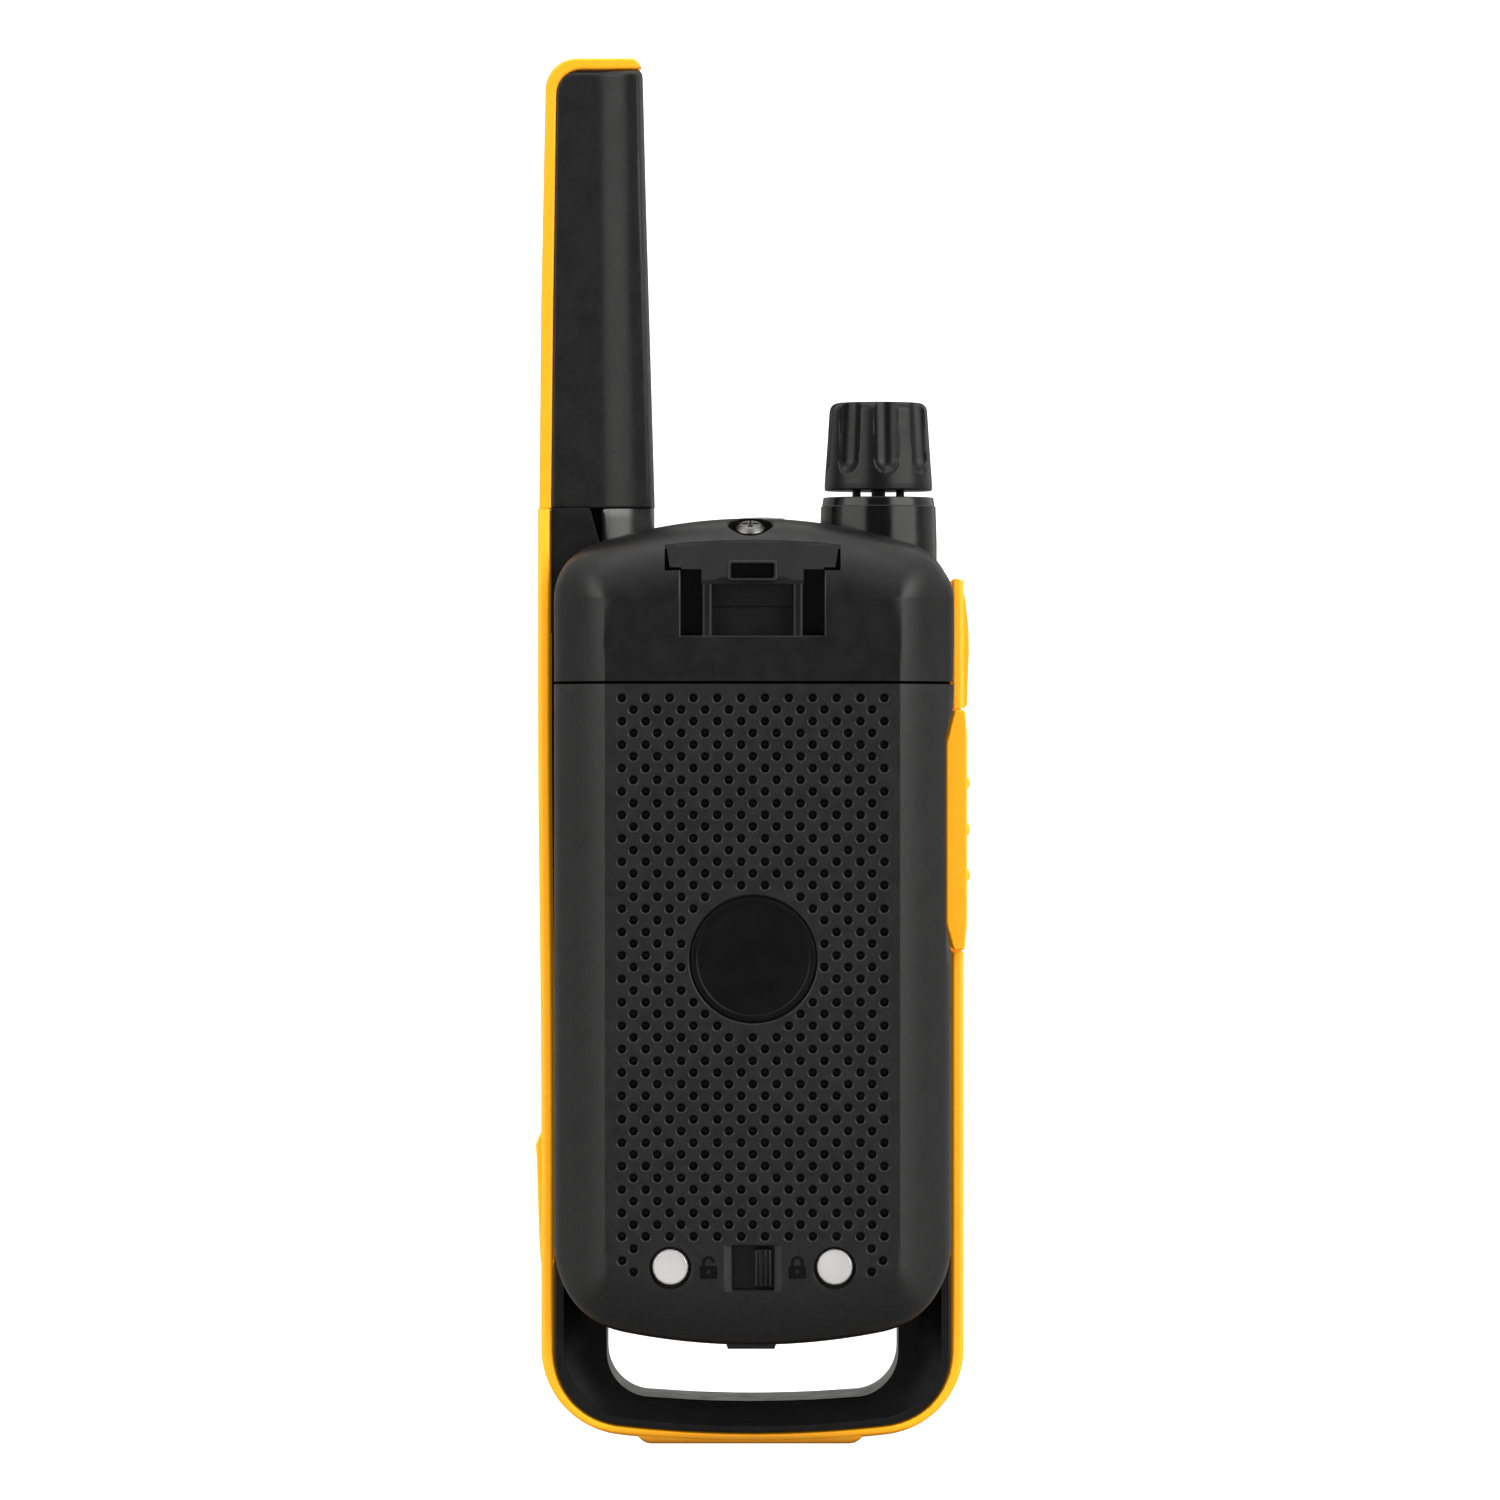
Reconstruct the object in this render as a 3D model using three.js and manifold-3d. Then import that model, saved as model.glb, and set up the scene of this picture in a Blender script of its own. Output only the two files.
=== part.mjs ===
// A rugged hand-held two way radio, built as an assembly of separate pieces.
// Millimetres, +Z up. The origin is the middle of the flat foot under the handle.
// The display and the keys face -Y, the battery door faces +Y, the antenna stands
// on the +X side and the volume knob on the -X side.
import * as THREE from "three";
import { mergeVertices } from "three/addons/utils/BufferGeometryUtils.js";
import Module from "manifold-3d";

const wasm = await Module();
wasm.setup();

// ---------------------------------------------------------------- driving dimensions
const GAP = 0.3; // clearance around parts set in a hole
const FAR = 40; // cutting tools reach this far, clear of the body

const HALF_WIDTH = 29.1; // over the yellow side rails
const FRONT_Y = -16.5; // front face of the black shell
const SPLIT_Y = -2.4; // where the shell makes room for the rear housing
const BACK_Y = 17; // flat back panel
const RAIL_BACK_Y = 3; // back edge of the yellow rails and of the handle
const RAIL_T = 1.55; // thickness of the rails
const RAIL_TOP_Z = 128.75;
const FOOT_HALF = 15.5; // half length of the flat foot

const SIDE_X = 27.2; // half width of the rear housing and door
const PANEL_X = 20.1; // half width of the flat back panel
const DOOR_BOTTOM_Z = 14.1; // lowest point of the door
const SEAM_Z = 104.7; // line between the rear housing and the door
const SEAM_GAP = 0.4;
const DOOR_TOP_Z = SEAM_Z - SEAM_GAP / 2;
const DOOR_LOW_Y = 0.9; // front edge of the door walls
const WALL = 1.9;

// Slow curve between two round corners; the steps are those of each corner.
const UNDERSIDE = { halfWidth: HALF_WIDTH, z: 0.2, curveR: 165, cornerR: 12, steps: 8 };
const DOOR_HEEL = { halfWidth: SIDE_X, z: DOOR_BOTTOM_Z, curveR: 90, cornerR: 12.3, steps: 6 };
const ARCH = { halfWidth: SIDE_X, z: 127.3, curveR: 69, cornerR: 8, steps: 5 };

const HANDLE = { half: 20.1, lowZ: 5.5, curveR: 170, cornerR: 5.2, cornerZ: 11.5 }; // opening

const KNOB_X = -17.4; // axis of the volume knob
const KNOB_Y = -3;
const COLLAR_R = 8.1;
const ANT_X = 17.3; // axis of the antenna rod
const ANT_Y = -3;
const ANT_BLOCK = { x: 12.8, z: 111.6 }; // inner side and bottom of the antenna block
const TORCH_X = -1.3;
const TORCH_Y = -9;

const CONTACT = { x: 11.2, z: 25.1, r: 2.37 }; // charge contacts in the door
const BADGE = { r: 8.53, x: -0.1, z: 67 };

const PTT = { z0: 68, z1: 101, pocketX: -25.9 }; // push to talk button and its pocket floor
const JACK_COVER = { z0: 101.6, z1: 118.8 };
const USB_COVER = { z0: 24.6, z1: 42.3 };
const COVER_Y = [-13, 2.8];
const JACK_Y = -10.6; // accessory socket behind the upper cover
const JACK_Z = 107.2;

const WINDOW = { x: 16.5, z0: 87, z1: 110 }; // display window
const SPEAKER_Z = 43;
const SPEAKER_R = 15;
const MIC_Z = 61.6;

const KEYS = [
  // name, centre x, centre z, half width, half height, corner radius
  ["key_menu", -12.2, 77.2, 4.3, 2.6, 2.2],
  ["key_scan", 12.2, 77.2, 4.3, 2.6, 2.2],
  ["key_up", 0, 79.2, 4.4, 2.4, 2],
  ["key_down", 0, 69.6, 4.4, 2.4, 2],
  ["key_call", -12.2, 69, 4.3, 2.6, 2.2],
  ["key_torch", 12.2, 69, 4.3, 2.6, 2.2],
];
// x and z of the case screws in the compartment floor
const CASE_SCREWS = [[-20.6, 33.4], [20.6, 33.4], [-20.6, 101], [20.6, 101]];
const TOP_SCREW = [0.3, 10.4, 124.9]; // seat of the top screw
const TOP_SCREW_TILT = 0.384; // radians, leaning towards +Y

// ---------------------------------------------------------------- solids
// A closed geometry as a solid, turned so that its faces point out.
function solid(geometry) {
  const loose = geometry.index ? geometry.toNonIndexed() : geometry;
  const bare = new THREE.BufferGeometry().setAttribute("position", loose.getAttribute("position"));
  const merged = mergeVertices(bare, 1e-4);
  const triVerts = new Uint32Array(merged.index.array);
  const vertProperties = new Float32Array(merged.attributes.position.array);
  const make = () => new wasm.Manifold(new wasm.Mesh({ numProp: 3, vertProperties, triVerts }));
  const built = make();
  if (built.volume() >= 0) return built;
  for (let i = 0; i < triVerts.length; i += 3) {
    [triVerts[i + 1], triVerts[i + 2]] = [triVerts[i + 2], triVerts[i + 1]];
  }
  return make();
}

function geometryOf(body) {
  const mesh = body.getMesh();
  const geometry = new THREE.BufferGeometry()
    .setAttribute("position", new THREE.BufferAttribute(new Float32Array(mesh.vertProperties), 3))
    .setIndex(new THREE.BufferAttribute(new Uint32Array(mesh.triVerts), 1));
  geometry.computeVertexNormals();
  return geometry;
}

const cut = (body, ...tools) => tools.reduce((rest, tool) => rest.subtract(tool), body);
const fuse = (body, ...parts) => parts.reduce((sum, part) => sum.add(part), body);

const shapeOf = (points) => new THREE.Shape(points.map(([x, y]) => new THREE.Vector2(x, y)));
const extruded = (points, depth) =>
  new THREE.ExtrudeGeometry(shapeOf(points), { depth, bevelEnabled: false, steps: 1 });

// A front-view outline in X and Z, carried from y0 to y1.
const slab = (points, y0, y1) =>
  solid(extruded(points, y1 - y0).rotateX(Math.PI / 2).translate(0, y1, 0));
// A plan outline in X and Y, carried from z0 to z1.
const post = (points, z0, z1) => solid(extruded(points, z1 - z0).translate(0, 0, z0));
// A side-view outline in Y and Z, carried from x0 to x1.
function bar(points, x0, x1) {
  const yzToWorld = new THREE.Matrix4().set(0, 0, 1, x0, 1, 0, 0, 0, 0, 1, 0, 0, 0, 0, 0, 1);
  return solid(extruded(points, x1 - x0).applyMatrix4(yzToWorld));
}
function box([x0, x1], [y0, y1], [z0, z1]) {
  const geometry = new THREE.BoxGeometry(x1 - x0, y1 - y0, z1 - z0);
  return solid(geometry.translate((x0 + x1) / 2, (y0 + y1) / 2, (z0 + z1) / 2));
}
// A solid of revolution: profile is [radius, height] pairs, closed on the axis or on itself.
function turned(profile, segments, axis = "z") {
  const points = profile.map(([radius, height]) => new THREE.Vector2(radius, height));
  const geometry = new THREE.LatheGeometry(points, segments);
  if (axis === "z") geometry.rotateX(Math.PI / 2);
  if (axis === "x") geometry.rotateZ(-Math.PI / 2);
  return solid(geometry);
}
const rod = (radius, low, high, segments, axis) =>
  turned([[0, low], [radius, low], [radius, high], [0, high]], segments, axis);
const rodAt = (radius, x, y, z0, z1, segments) =>
  rod(radius, z0, z1, segments).translate([x, y, 0]);
const rodAlongY = (radius, x, z, y0, y1, segments) =>
  rod(radius, y0, y1, segments, "y").translate([x, 0, z]);
const rodAlongX = (radius, y, z, x0, x1, segments) =>
  rod(radius, x0, x1, segments, "x").translate([0, y, z]);
const tube = (outerR, innerR, low, high, segments) =>
  turned([[innerR, low], [outerR, low], [outerR, high], [innerR, high], [innerR, low]], segments);

// ---------------------------------------------------------------- outlines
function arc(cx, cz, radius, start, end, steps) {
  const points = [];
  for (let i = 0; i <= steps; i++) {
    const angle = start + ((end - start) * i) / steps;
    points.push([cx + radius * Math.cos(angle), cz + radius * Math.sin(angle)]);
  }
  return points;
}
const mirrored = (points) => points.map(([x, z]) => [-x, z]).reverse();

function roundRect(x0, x1, z0, z1, radius, steps = 4) {
  const quarter = Math.PI / 2;
  return [
    ...arc(x1 - radius, z0 + radius, radius, -quarter, 0, steps),
    ...arc(x1 - radius, z1 - radius, radius, 0, quarter, steps),
    ...arc(x0 + radius, z1 - radius, radius, quarter, Math.PI, steps),
    ...arc(x0 + radius, z0 + radius, radius, Math.PI, Math.PI * 1.5, steps),
  ];
}
const centredRect = (x, z, halfWidth, halfHeight, radius, steps) =>
  roundRect(x - halfWidth, x + halfWidth, z - halfHeight, z + halfHeight, radius, steps);

// Bottom edge, from the middle to +X.
function lowerHalf({ halfWidth, z, curveR, cornerR, steps }, inset) {
  const cornerX = halfWidth - cornerR;
  const curveZ = z + curveR;
  const cornerZ = curveZ - Math.sqrt((curveR - cornerR) ** 2 - cornerX * cornerX);
  const tangent = Math.atan2(cornerZ - curveZ, cornerX);
  return [
    ...arc(0, curveZ, curveR - inset, -Math.PI / 2, tangent, 3),
    ...arc(cornerX, cornerZ, cornerR - inset, tangent, 0, steps).slice(1),
  ];
}
// Top edge, from +X to the middle.
function upperHalf({ halfWidth, z, curveR, cornerR, steps }, inset) {
  const cornerX = halfWidth - cornerR;
  const curveZ = z - curveR;
  const cornerZ = curveZ + Math.sqrt((curveR - cornerR) ** 2 - cornerX * cornerX);
  const tangent = Math.atan2(cornerZ - curveZ, cornerX);
  return [
    ...arc(cornerX, cornerZ, cornerR - inset, 0, tangent, steps),
    ...arc(0, curveZ, curveR - inset, tangent, Math.PI / 2, 3).slice(1),
  ];
}
function closedOutline(lower, upper) {
  const right = [...lower, ...upper];
  return [...right, ...mirrored(right).slice(1, -1)];
}
// A curved bottom with straight sides up to a flat top.
function cupOutline(bottom, inset, top) {
  const right = [...lowerHalf(bottom, inset), [bottom.halfWidth - inset, top]];
  return [...right, ...mirrored(right).slice(0, -1)];
}
const bodyOutline = (inset) =>
  closedOutline(lowerHalf(UNDERSIDE, inset), upperHalf(ARCH, inset - (HALF_WIDTH - SIDE_X)));
const rearOutline = (inset) =>
  closedOutline(lowerHalf(DOOR_HEEL, inset), upperHalf(ARCH, inset));
const compartmentOutline = (inset, top) => cupOutline(DOOR_HEEL, inset, top);
const railOutline = (inset, top) => cupOutline(UNDERSIDE, inset, top);

// Plan section (x, y) of the rear housing and door: flat panel, rounded facets, straight sides.
function rearSection(inset, low) {
  const x = SIDE_X - inset;
  const right = [
    [x, low],
    [x, 8.4],
    [x - 0.6, 10.9 - 0.45 * inset],
    [x - 2.2, 13.5 - 0.7 * inset],
    [x - 4.4, 15.5 - 0.9 * inset],
    [PANEL_X - 0.7 * inset, BACK_Y - inset],
  ];
  return [...right, ...mirrored(right)];
}
// Side section (y, z): rounded heel at the bottom, rounded shoulder at the top.
function rearProfile(inset, low) {
  return [
    [low, DOOR_BOTTOM_Z - 2 + inset],
    [10.5, DOOR_BOTTOM_Z - 0.3 + inset],
    [13.4 - 0.5 * inset, DOOR_BOTTOM_Z + 0.7 + 0.8 * inset],
    [15.6 - 0.8 * inset, DOOR_BOTTOM_Z + 2.5 + 0.5 * inset],
    [16.7 - inset, DOOR_BOTTOM_Z + 4.8],
    [BACK_Y - inset, DOOR_BOTTOM_Z + 7.5],
    [BACK_Y - inset, 116],
    [16.5 - inset, 119],
    [15.4 - 0.9 * inset, 121.8 - 0.3 * inset],
    [13.4 - 0.7 * inset, 124.4 - 0.7 * inset],
    [10.8 - 0.3 * inset, 126.4 - inset],
    [7.8, 127.7 - inset],
    [low, 128.4 - inset],
  ];
}
const rearBody = (inset, low) =>
  slab(rearOutline(inset), low, BACK_Y + 1)
    .intersect(post(rearSection(inset, low - 1), 0, 140))
    .intersect(bar(rearProfile(inset, low - 1), -FAR, FAR));

// ---------------------------------------------------------------- materials and assembly
const FINISHES = {
  black: { color: 0x262626, roughness: 0.62 },
  door: { color: 0x232323, roughness: 0.66 },
  gloss: { color: 0x1b1b1b, roughness: 0.28 },
  yellow: { color: 0xf7b428, roughness: 0.5 },
  badge: { color: 0x151515, roughness: 0.5 },
  nickel: { color: 0xd3d3d3, roughness: 0.3, metalness: 1 },
  steel: { color: 0x9a9a9a, roughness: 0.35, metalness: 1 },
  brass: { color: 0xb08a3c, roughness: 0.35, metalness: 1 },
  smoked: { color: 0x101416, roughness: 0.08 },
  glass: { color: 0xdfe6e8, roughness: 0.06 },
  lcd: { color: 0x77806f, roughness: 0.35 },
  board: { color: 0x1e5a34, roughness: 0.5 },
  rubber: { color: 0x1c1c1c, roughness: 0.85 },
  grey: { color: 0x5b5b5b, roughness: 0.6 },
  paper: { color: 0x3b3a38, roughness: 0.9 },
  cell: { color: 0x3f7f5b, roughness: 0.4 },
};

function add(parent, name, body, finish, position = [0, 0, 0], rotation = [0, 0, 0]) {
  const material = new THREE.MeshStandardMaterial(FINISHES[finish]);
  const mesh = new THREE.Mesh(geometryOf(body), material);
  mesh.name = name;
  mesh.position.set(...position);
  mesh.rotation.set(...rotation);
  parent.add(mesh);
}
function group(parent, position = [0, 0, 0]) {
  const child = new THREE.Group();
  child.position.set(...position);
  parent.add(child);
  return child;
}

const radio = new THREE.Group();

// ---------------------------------------------------------------- shared cutters
// Pocket with sloped ends behind the push to talk button, in the rear housing and the door.
function pttPocket() {
  const mouthX = -27.4;
  const outline = [
    [-FAR, PTT.z0 - 1.4],
    [mouthX, PTT.z0 - 1.4],
    [PTT.pocketX, PTT.z0 + 2],
    [PTT.pocketX, PTT.z1 - 2],
    [mouthX, PTT.z1 + 1.4],
    [-FAR, PTT.z1 + 1.4],
  ];
  return slab(outline, -5, 8);
}
const collarHole = () => rodAt(COLLAR_R + GAP, KNOB_X, KNOB_Y, 121, 150, 24);

// ---------------------------------------------------------------- front shell
const frontHole = (outline) => slab(outline, -20, -10); // through the front wall

function rearHousingRoom() {
  const { x, z } = ANT_BLOCK;
  const keptBlock = slab([[35, z], [35, 135], [x, 135], [x, z]], -8, 2.2);
  return slab(rearOutline(-GAP), SPLIT_Y, 30).subtract(keptBlock);
}

// Opening under the battery compartment.
function handleOpening() {
  const { half, lowZ, curveR, cornerR, cornerZ } = HANDLE;
  const curveHalfAngle = 0.088;
  const cornerAngle = 1.2;
  const down = -Math.PI / 2;
  const outline = [
    ...arc(0, lowZ + curveR, curveR, down - curveHalfAngle, down + curveHalfAngle, 4),
    ...arc(half - cornerR, cornerZ, cornerR, -cornerAngle, 0, 5),
    [half, 30],
    [-half, 30],
    ...arc(-half + cornerR, cornerZ, cornerR, Math.PI, Math.PI + cornerAngle, 5),
  ];
  return slab(outline, -30, 30).subtract(slab(compartmentOutline(0.9, 60), -31, 31));
}

function speakerSlots() {
  const halfWidths = [7.5, 11, 12.8, 13.4, 12.8, 11, 7.5];
  const lowestZ = 32.6;
  const pitch = 3.5;
  return halfWidths.map((halfWidth, i) =>
    frontHole(centredRect(0, lowestZ + pitch * i, halfWidth, 0.75, 0.74, 2)),
  );
}

function frontShell() {
  const { x, z0, z1 } = WINDOW;
  const antennaSideBlock = slab(
    [[27.3, 108], [27.3, 128.85], [22.4, 128.85], [21, 123.6], [21, 108]],
    -7.9,
    1.9,
  );
  const borderRebate = slab(railOutline(-2, 140), FRONT_Y - 1, FRONT_Y + 1.2).subtract(
    slab(railOutline(3.3, 141), -30, 0),
  );
  const keyHoles = KEYS.map(([, keyX, keyZ, halfWidth, halfHeight, radius]) =>
    frontHole(centredRect(keyX, keyZ, halfWidth + GAP, halfHeight + GAP, radius, 3)),
  );
  return cut(
    slab(bodyOutline(RAIL_T + 0.25), FRONT_Y, RAIL_BACK_Y).add(antennaSideBlock),
    rearHousingRoom(),
    // behind the split line, from the -X side to the antenna block
    box([-FAR, ANT_BLOCK.x], [SPLIT_Y, 30], [ANT_BLOCK.z, 140]),
    handleOpening(),
    // inside
    slab(rearOutline(2.9), FRONT_Y + 2.2, 30),
    borderRebate,
    // display window and its ledge
    slab(roundRect(-x - GAP, x + GAP, z0 - GAP, z1 + GAP, 2.3), -20, -15.1),
    frontHole(roundRect(-14.4, 14.4, 89.4, 107.6, 1.2, 2)),
    ...keyHoles,
    ...speakerSlots(),
    // microphone hole
    rodAlongY(0.8, 0, MIC_Z, -20, -10, 10),
    // push to talk button and its plunger
    box([-FAR, PTT.pocketX], [-13.3, 10], [PTT.z0 - 0.5, PTT.z1 + 0.6]),
    box([-FAR, -20], [-6, -2.5], [81.4, 87.8]),
    // accessory and data sockets
    rodAlongX(2.9, JACK_Y, JACK_Z, -FAR, -20, 14),
    box([20, FAR], [-12.4, -8.6], [29.1, 37.9]),
    collarHole(),
    // antenna foot
    rodAt(4.1, ANT_X, ANT_Y, 117, 150, 20),
    // encoder
    box([-23.5, -11], [-9.5, 3.5], [100, 119.2]),
    // torch
    rodAt(4.3, TORCH_X, TORCH_Y, 118, 150, 20),
  );
}

// ---------------------------------------------------------------- yellow bumper frame
function bumperFrame() {
  const rails = slab(railOutline(0, RAIL_TOP_Z), -16, RAIL_BACK_Y).subtract(
    slab(railOutline(RAIL_T, 140), -30, 30),
  );
  const frontBorder = slab(railOutline(0.5, RAIL_TOP_Z), -16.9, -15.6).subtract(
    slab(railOutline(3, 140), -30, 30),
  );
  const foot = slab(
    [[-FOOT_HALF, 0], [FOOT_HALF, 0], [FOOT_HALF, 1.1], [0, 0.9], [-FOOT_HALF, 1.1]],
    -14.5,
    RAIL_BACK_Y - 0.4,
  );
  return cut(
    fuse(rails, frontBorder, foot),
    // the -X rail ends at the top of the accessory cover
    box([-FAR, 0], [-30, 30], [JACK_COVER.z1 + 0.1, 150]),
    // room for the button and the two covers
    box([-FAR, 0], [-13.3, 30], [PTT.z0 - 0.4, 150]),
    box([0, FAR], [-13.3, 30], [USB_COVER.z0 - 0.35, USB_COVER.z1 + 0.3]),
  );
}

// ---------------------------------------------------------------- display, keys, speaker
const displayLens = () =>
  slab(roundRect(-WINDOW.x, WINDOW.x, WINDOW.z0, WINDOW.z1, 2), -16.7, -15.4);

// A key with a smaller raised face, centred on its own origin.
function keyCap(halfWidth, halfHeight, radius) {
  const step = 0.6;
  const base = centredRect(0, 0, halfWidth, halfHeight, radius, 3);
  const face = centredRect(0, 0, halfWidth - step, halfHeight - step, radius - 0.5, 3);
  return slab(base, -2.1, 0).add(slab(face, -2.6, 0));
}

// [radius, y]
const BASKET_PROFILE = [
  [0, -10.9], [5, -10.9], [5, -10.3], [SPEAKER_R - 1, -10.3], [SPEAKER_R, -11.2],
  [SPEAKER_R, -13.3], [SPEAKER_R - 1, -13.3], [SPEAKER_R - 1, -11.5],
  [SPEAKER_R - 2, -11.2], [0, -11.2],
];
const CONE_PROFILE = [
  [0, -12.7], [3.6, -12.1], [4.4, -11.8], [12, -12.9], [13.6, -12.7],
  [13.6, -12.4], [12, -12.5], [4.4, -11.5], [0, -11.5],
];

const front = group(radio);
add(front, "front_shell", frontShell(), "black");
add(front, "bumper_frame", bumperFrame(), "yellow");
add(front, "display_lens", displayLens(), "smoked");
add(front, "display_module", slab(roundRect(-15, 15, 88.6, 108.4, 0.8, 1), -13.9, -10.8), "lcd");
for (const [name, x, z, ...size] of KEYS) {
  add(front, name, keyCap(...size), "rubber", [x, -14.6, z]);
}
add(front, "keypad_mat", slab(roundRect(-18.5, 18.5, 65.4, 83, 1.5, 2), -13.8, -12.9), "grey");
const speaker = group(front, [0, 0, SPEAKER_Z]);
add(speaker, "speaker_mesh", rod(SPEAKER_R - 0.2, -14, -13.6, 24, "y"), "paper");
add(speaker, "speaker_basket", turned(BASKET_PROFILE, 24, "y"), "grey");
add(speaker, "speaker_cone", turned(CONE_PROFILE, 24, "y"), "paper");
add(speaker, "speaker_magnet", rod(6.5, -10, -7.8, 20, "y"), "steel");
add(front, "microphone", rod(2, -14, -12.4, 14, "y"), "steel", [0, 0, MIC_Z]);

// ---------------------------------------------------------------- circuit board
const PCB_Y = [-7.4, -6.2]; // front and back faces
const PCB_OUTLINE = [[-22.6, 24], [-18, 19.6], [18, 19.6], [22.6, 24], [22.6, 110.6], [-22.6, 110.6]];

// A can open towards the board.
function rfShield() {
  const halfWidth = 17;
  const [z0, z1] = [58, 100];
  const backY = -2.9;
  const sheet = 0.4;
  const innerX = halfWidth - sheet;
  return box([-halfWidth, halfWidth], [PCB_Y[1] + 0.3, backY], [z0, z1]).subtract(
    box([-innerX, innerX], [PCB_Y[1] - 1, backY - sheet], [z0 + sheet, z1 - sheet]),
  );
}
function accessorySocket() {
  const sleeve = rodAlongX(2.6, JACK_Y, JACK_Z, -27, -18.4, 14);
  const block = box([-23.6, -18.4], [-13.6, -7.8], [JACK_Z - 3.2, JACK_Z + 3.2]);
  return sleeve.add(block).subtract(rodAlongX(1.9, JACK_Y, JACK_Z, -30, -19.4, 14));
}
const usbSocket = () =>
  slab(roundRect(18.9, 27, 29.5, 37.5, 0.8, 2), -12, -9).subtract(
    box([20, 30], [-11.5, -9.5], [30.2, 36.8]),
  );

const board = group(radio);
add(board, "main_pcb", slab(PCB_OUTLINE, ...PCB_Y), "board");
add(board, "rf_shield", rfShield(), "nickel");
add(board, "ptt_switch", box([-24.2, -20.8], [-5.8, -2.9], [79.8, 89.4]), "grey");
add(board, "accessory_socket", accessorySocket(), "gloss");
add(board, "usb_socket", usbSocket(), "nickel");

// ---------------------------------------------------------------- rear housing
function dome() {
  const aboveSeam = box([-FAR, FAR], [-5, 30], [SEAM_Z + SEAM_GAP / 2, 140]);
  const hollow = slab(rearOutline(2.2), -5, 8.6).intersect(
    box([-FAR, FAR], [-5, 30], [SEAM_Z + 2.2, 140]),
  );
  return rearBody(0, -1.6).intersect(aboveSeam).subtract(hollow);
}

function batteryBay() {
  const halfWidth = 23.5;
  const [z0, z1] = [37.4, 97.4];
  const wall = 1.4;
  const innerX = halfWidth - wall;
  return box([-halfWidth, halfWidth], [-0.5, 9.3], [z0, z1]).subtract(
    box([-innerX, innerX], [-1, 12], [z0 + wall, z1 - wall]),
  );
}

// Belt clip seat: T shaped recess with two guide rails and a catch slot.
function clipSeat() {
  const stemX = 9.8;
  const [railInX, railOutX] = [5.5, 6.9];
  const railY = [10, 16.3];
  const railZ = [111, 119.1];
  const crossbar = box([-12, 12], [13.4, 30], [120, 123.6]);
  const stem = box([-stemX, stemX], [13.4, 30], [111.1, 120.1]);
  const recess = cut(
    crossbar.add(stem),
    box([-railOutX, -railInX], railY, railZ),
    box([railInX, railOutX], railY, railZ),
  );
  return fuse(
    recess,
    // deeper channels outside the rails
    box([-stemX, -railOutX], [11, 30], [111.1, 119.4]),
    box([railOutX, stemX], [11, 30], [111.1, 119.4]),
    // catch slot
    box([-3.2, 3.2], [11.4, 15], [119.1, 121.5]),
  );
}

function rearHousing() {
  const onTopScrew = (tool) =>
    tool.rotate([(-TOP_SCREW_TILT * 180) / Math.PI, 0, 0]).translate(TOP_SCREW);
  const compartmentFloor = slab(compartmentOutline(0.3, 111.3), -1.6, -0.2);
  const latchKeeper = box([-4.2, -1.2], [-0.5, 12.6], [18.2, 20.2]);
  return cut(
    fuse(dome(), compartmentFloor, batteryBay(), latchKeeper),
    pttPocket(),
    // antenna foot
    box([12.5, FAR], [-5, 2.5], [111.2, 140]),
    collarHole(),
    // encoder
    box([-27, -8], [-5, 5], [111.4, 121.4]),
    clipSeat(),
    // counterbore and hole for the top screw
    onTopScrew(rod(3.1, 0, 8, 20)),
    onTopScrew(rod(1.5, -12, 1, 12)),
    ...CASE_SCREWS.map(([x, z]) => rodAlongY(1.6, x, z, -5, 2, 12)),
  );
}

// A flat ring between two outlines.
const ring = (outer, inner, y0, y1) => slab(outer, y0, y1).subtract(slab(inner, y0 - 1, y1 + 1));
const housingSeal = () =>
  ring(compartmentOutline(1.75, 110.9), compartmentOutline(2.45, 110.2), -2.15, -1.85);

// Pan head screw with a cross recess, head up, seated at its origin.
function screw(headR, headH, shankR, length) {
  const profile = [
    [0, -length], [shankR * 0.6, -length], [shankR, -length + 1], [shankR, 0],
    [headR, 0], [headR, headH * 0.45], [headR * 0.6, headH], [0, headH],
  ];
  const slotLength = [-headR * 0.55, headR * 0.55];
  const slotWidth = [-0.3, 0.3];
  const slotZ = [headH * 0.4, headH + 1];
  return cut(
    turned(profile, 12),
    box(slotLength, slotWidth, slotZ),
    box(slotWidth, slotLength, slotZ),
  );
}

const back = group(radio);
add(back, "rear_housing", rearHousing(), "black");
add(back, "housing_seal", housingSeal(), "rubber");
const SCREW_LIFT = 0.3; // the top screw stands off its seat, along its axis
const topScrewPosition = [
  TOP_SCREW[0],
  TOP_SCREW[1] + SCREW_LIFT * Math.sin(TOP_SCREW_TILT),
  TOP_SCREW[2] + SCREW_LIFT * Math.cos(TOP_SCREW_TILT),
];
const topScrewRotation = [-TOP_SCREW_TILT, 0, 0];
const topScrew = screw(2.2, 1.5, 1.15, 8);
add(back, "case_screw_top", topScrew, "nickel", topScrewPosition, topScrewRotation);
CASE_SCREWS.forEach(([x, z], i) => {
  const name = `case_screw_${i + 1}`;
  add(back, name, screw(2.5, 1.3, 1.25, 3.6), "steel", [x, 0.1, z], [-Math.PI / 2, 0, 0]);
});

// ---------------------------------------------------------------- battery
const CELL = { r: 7.25, length: 50.5, y: 7.35, z: 42, pitch: 14.6 }; // AA size cells

function cell() {
  const { r, length } = CELL;
  const shoulder = length - 1.1; // foot of the positive button
  const profile = [
    [0, 0], [6.9, 0], [r, 0.35], [r, length - 1.6],
    [6.8, shoulder], [2.75, shoulder], [2.75, length], [0, length],
  ];
  return turned(profile, 20);
}
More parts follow.
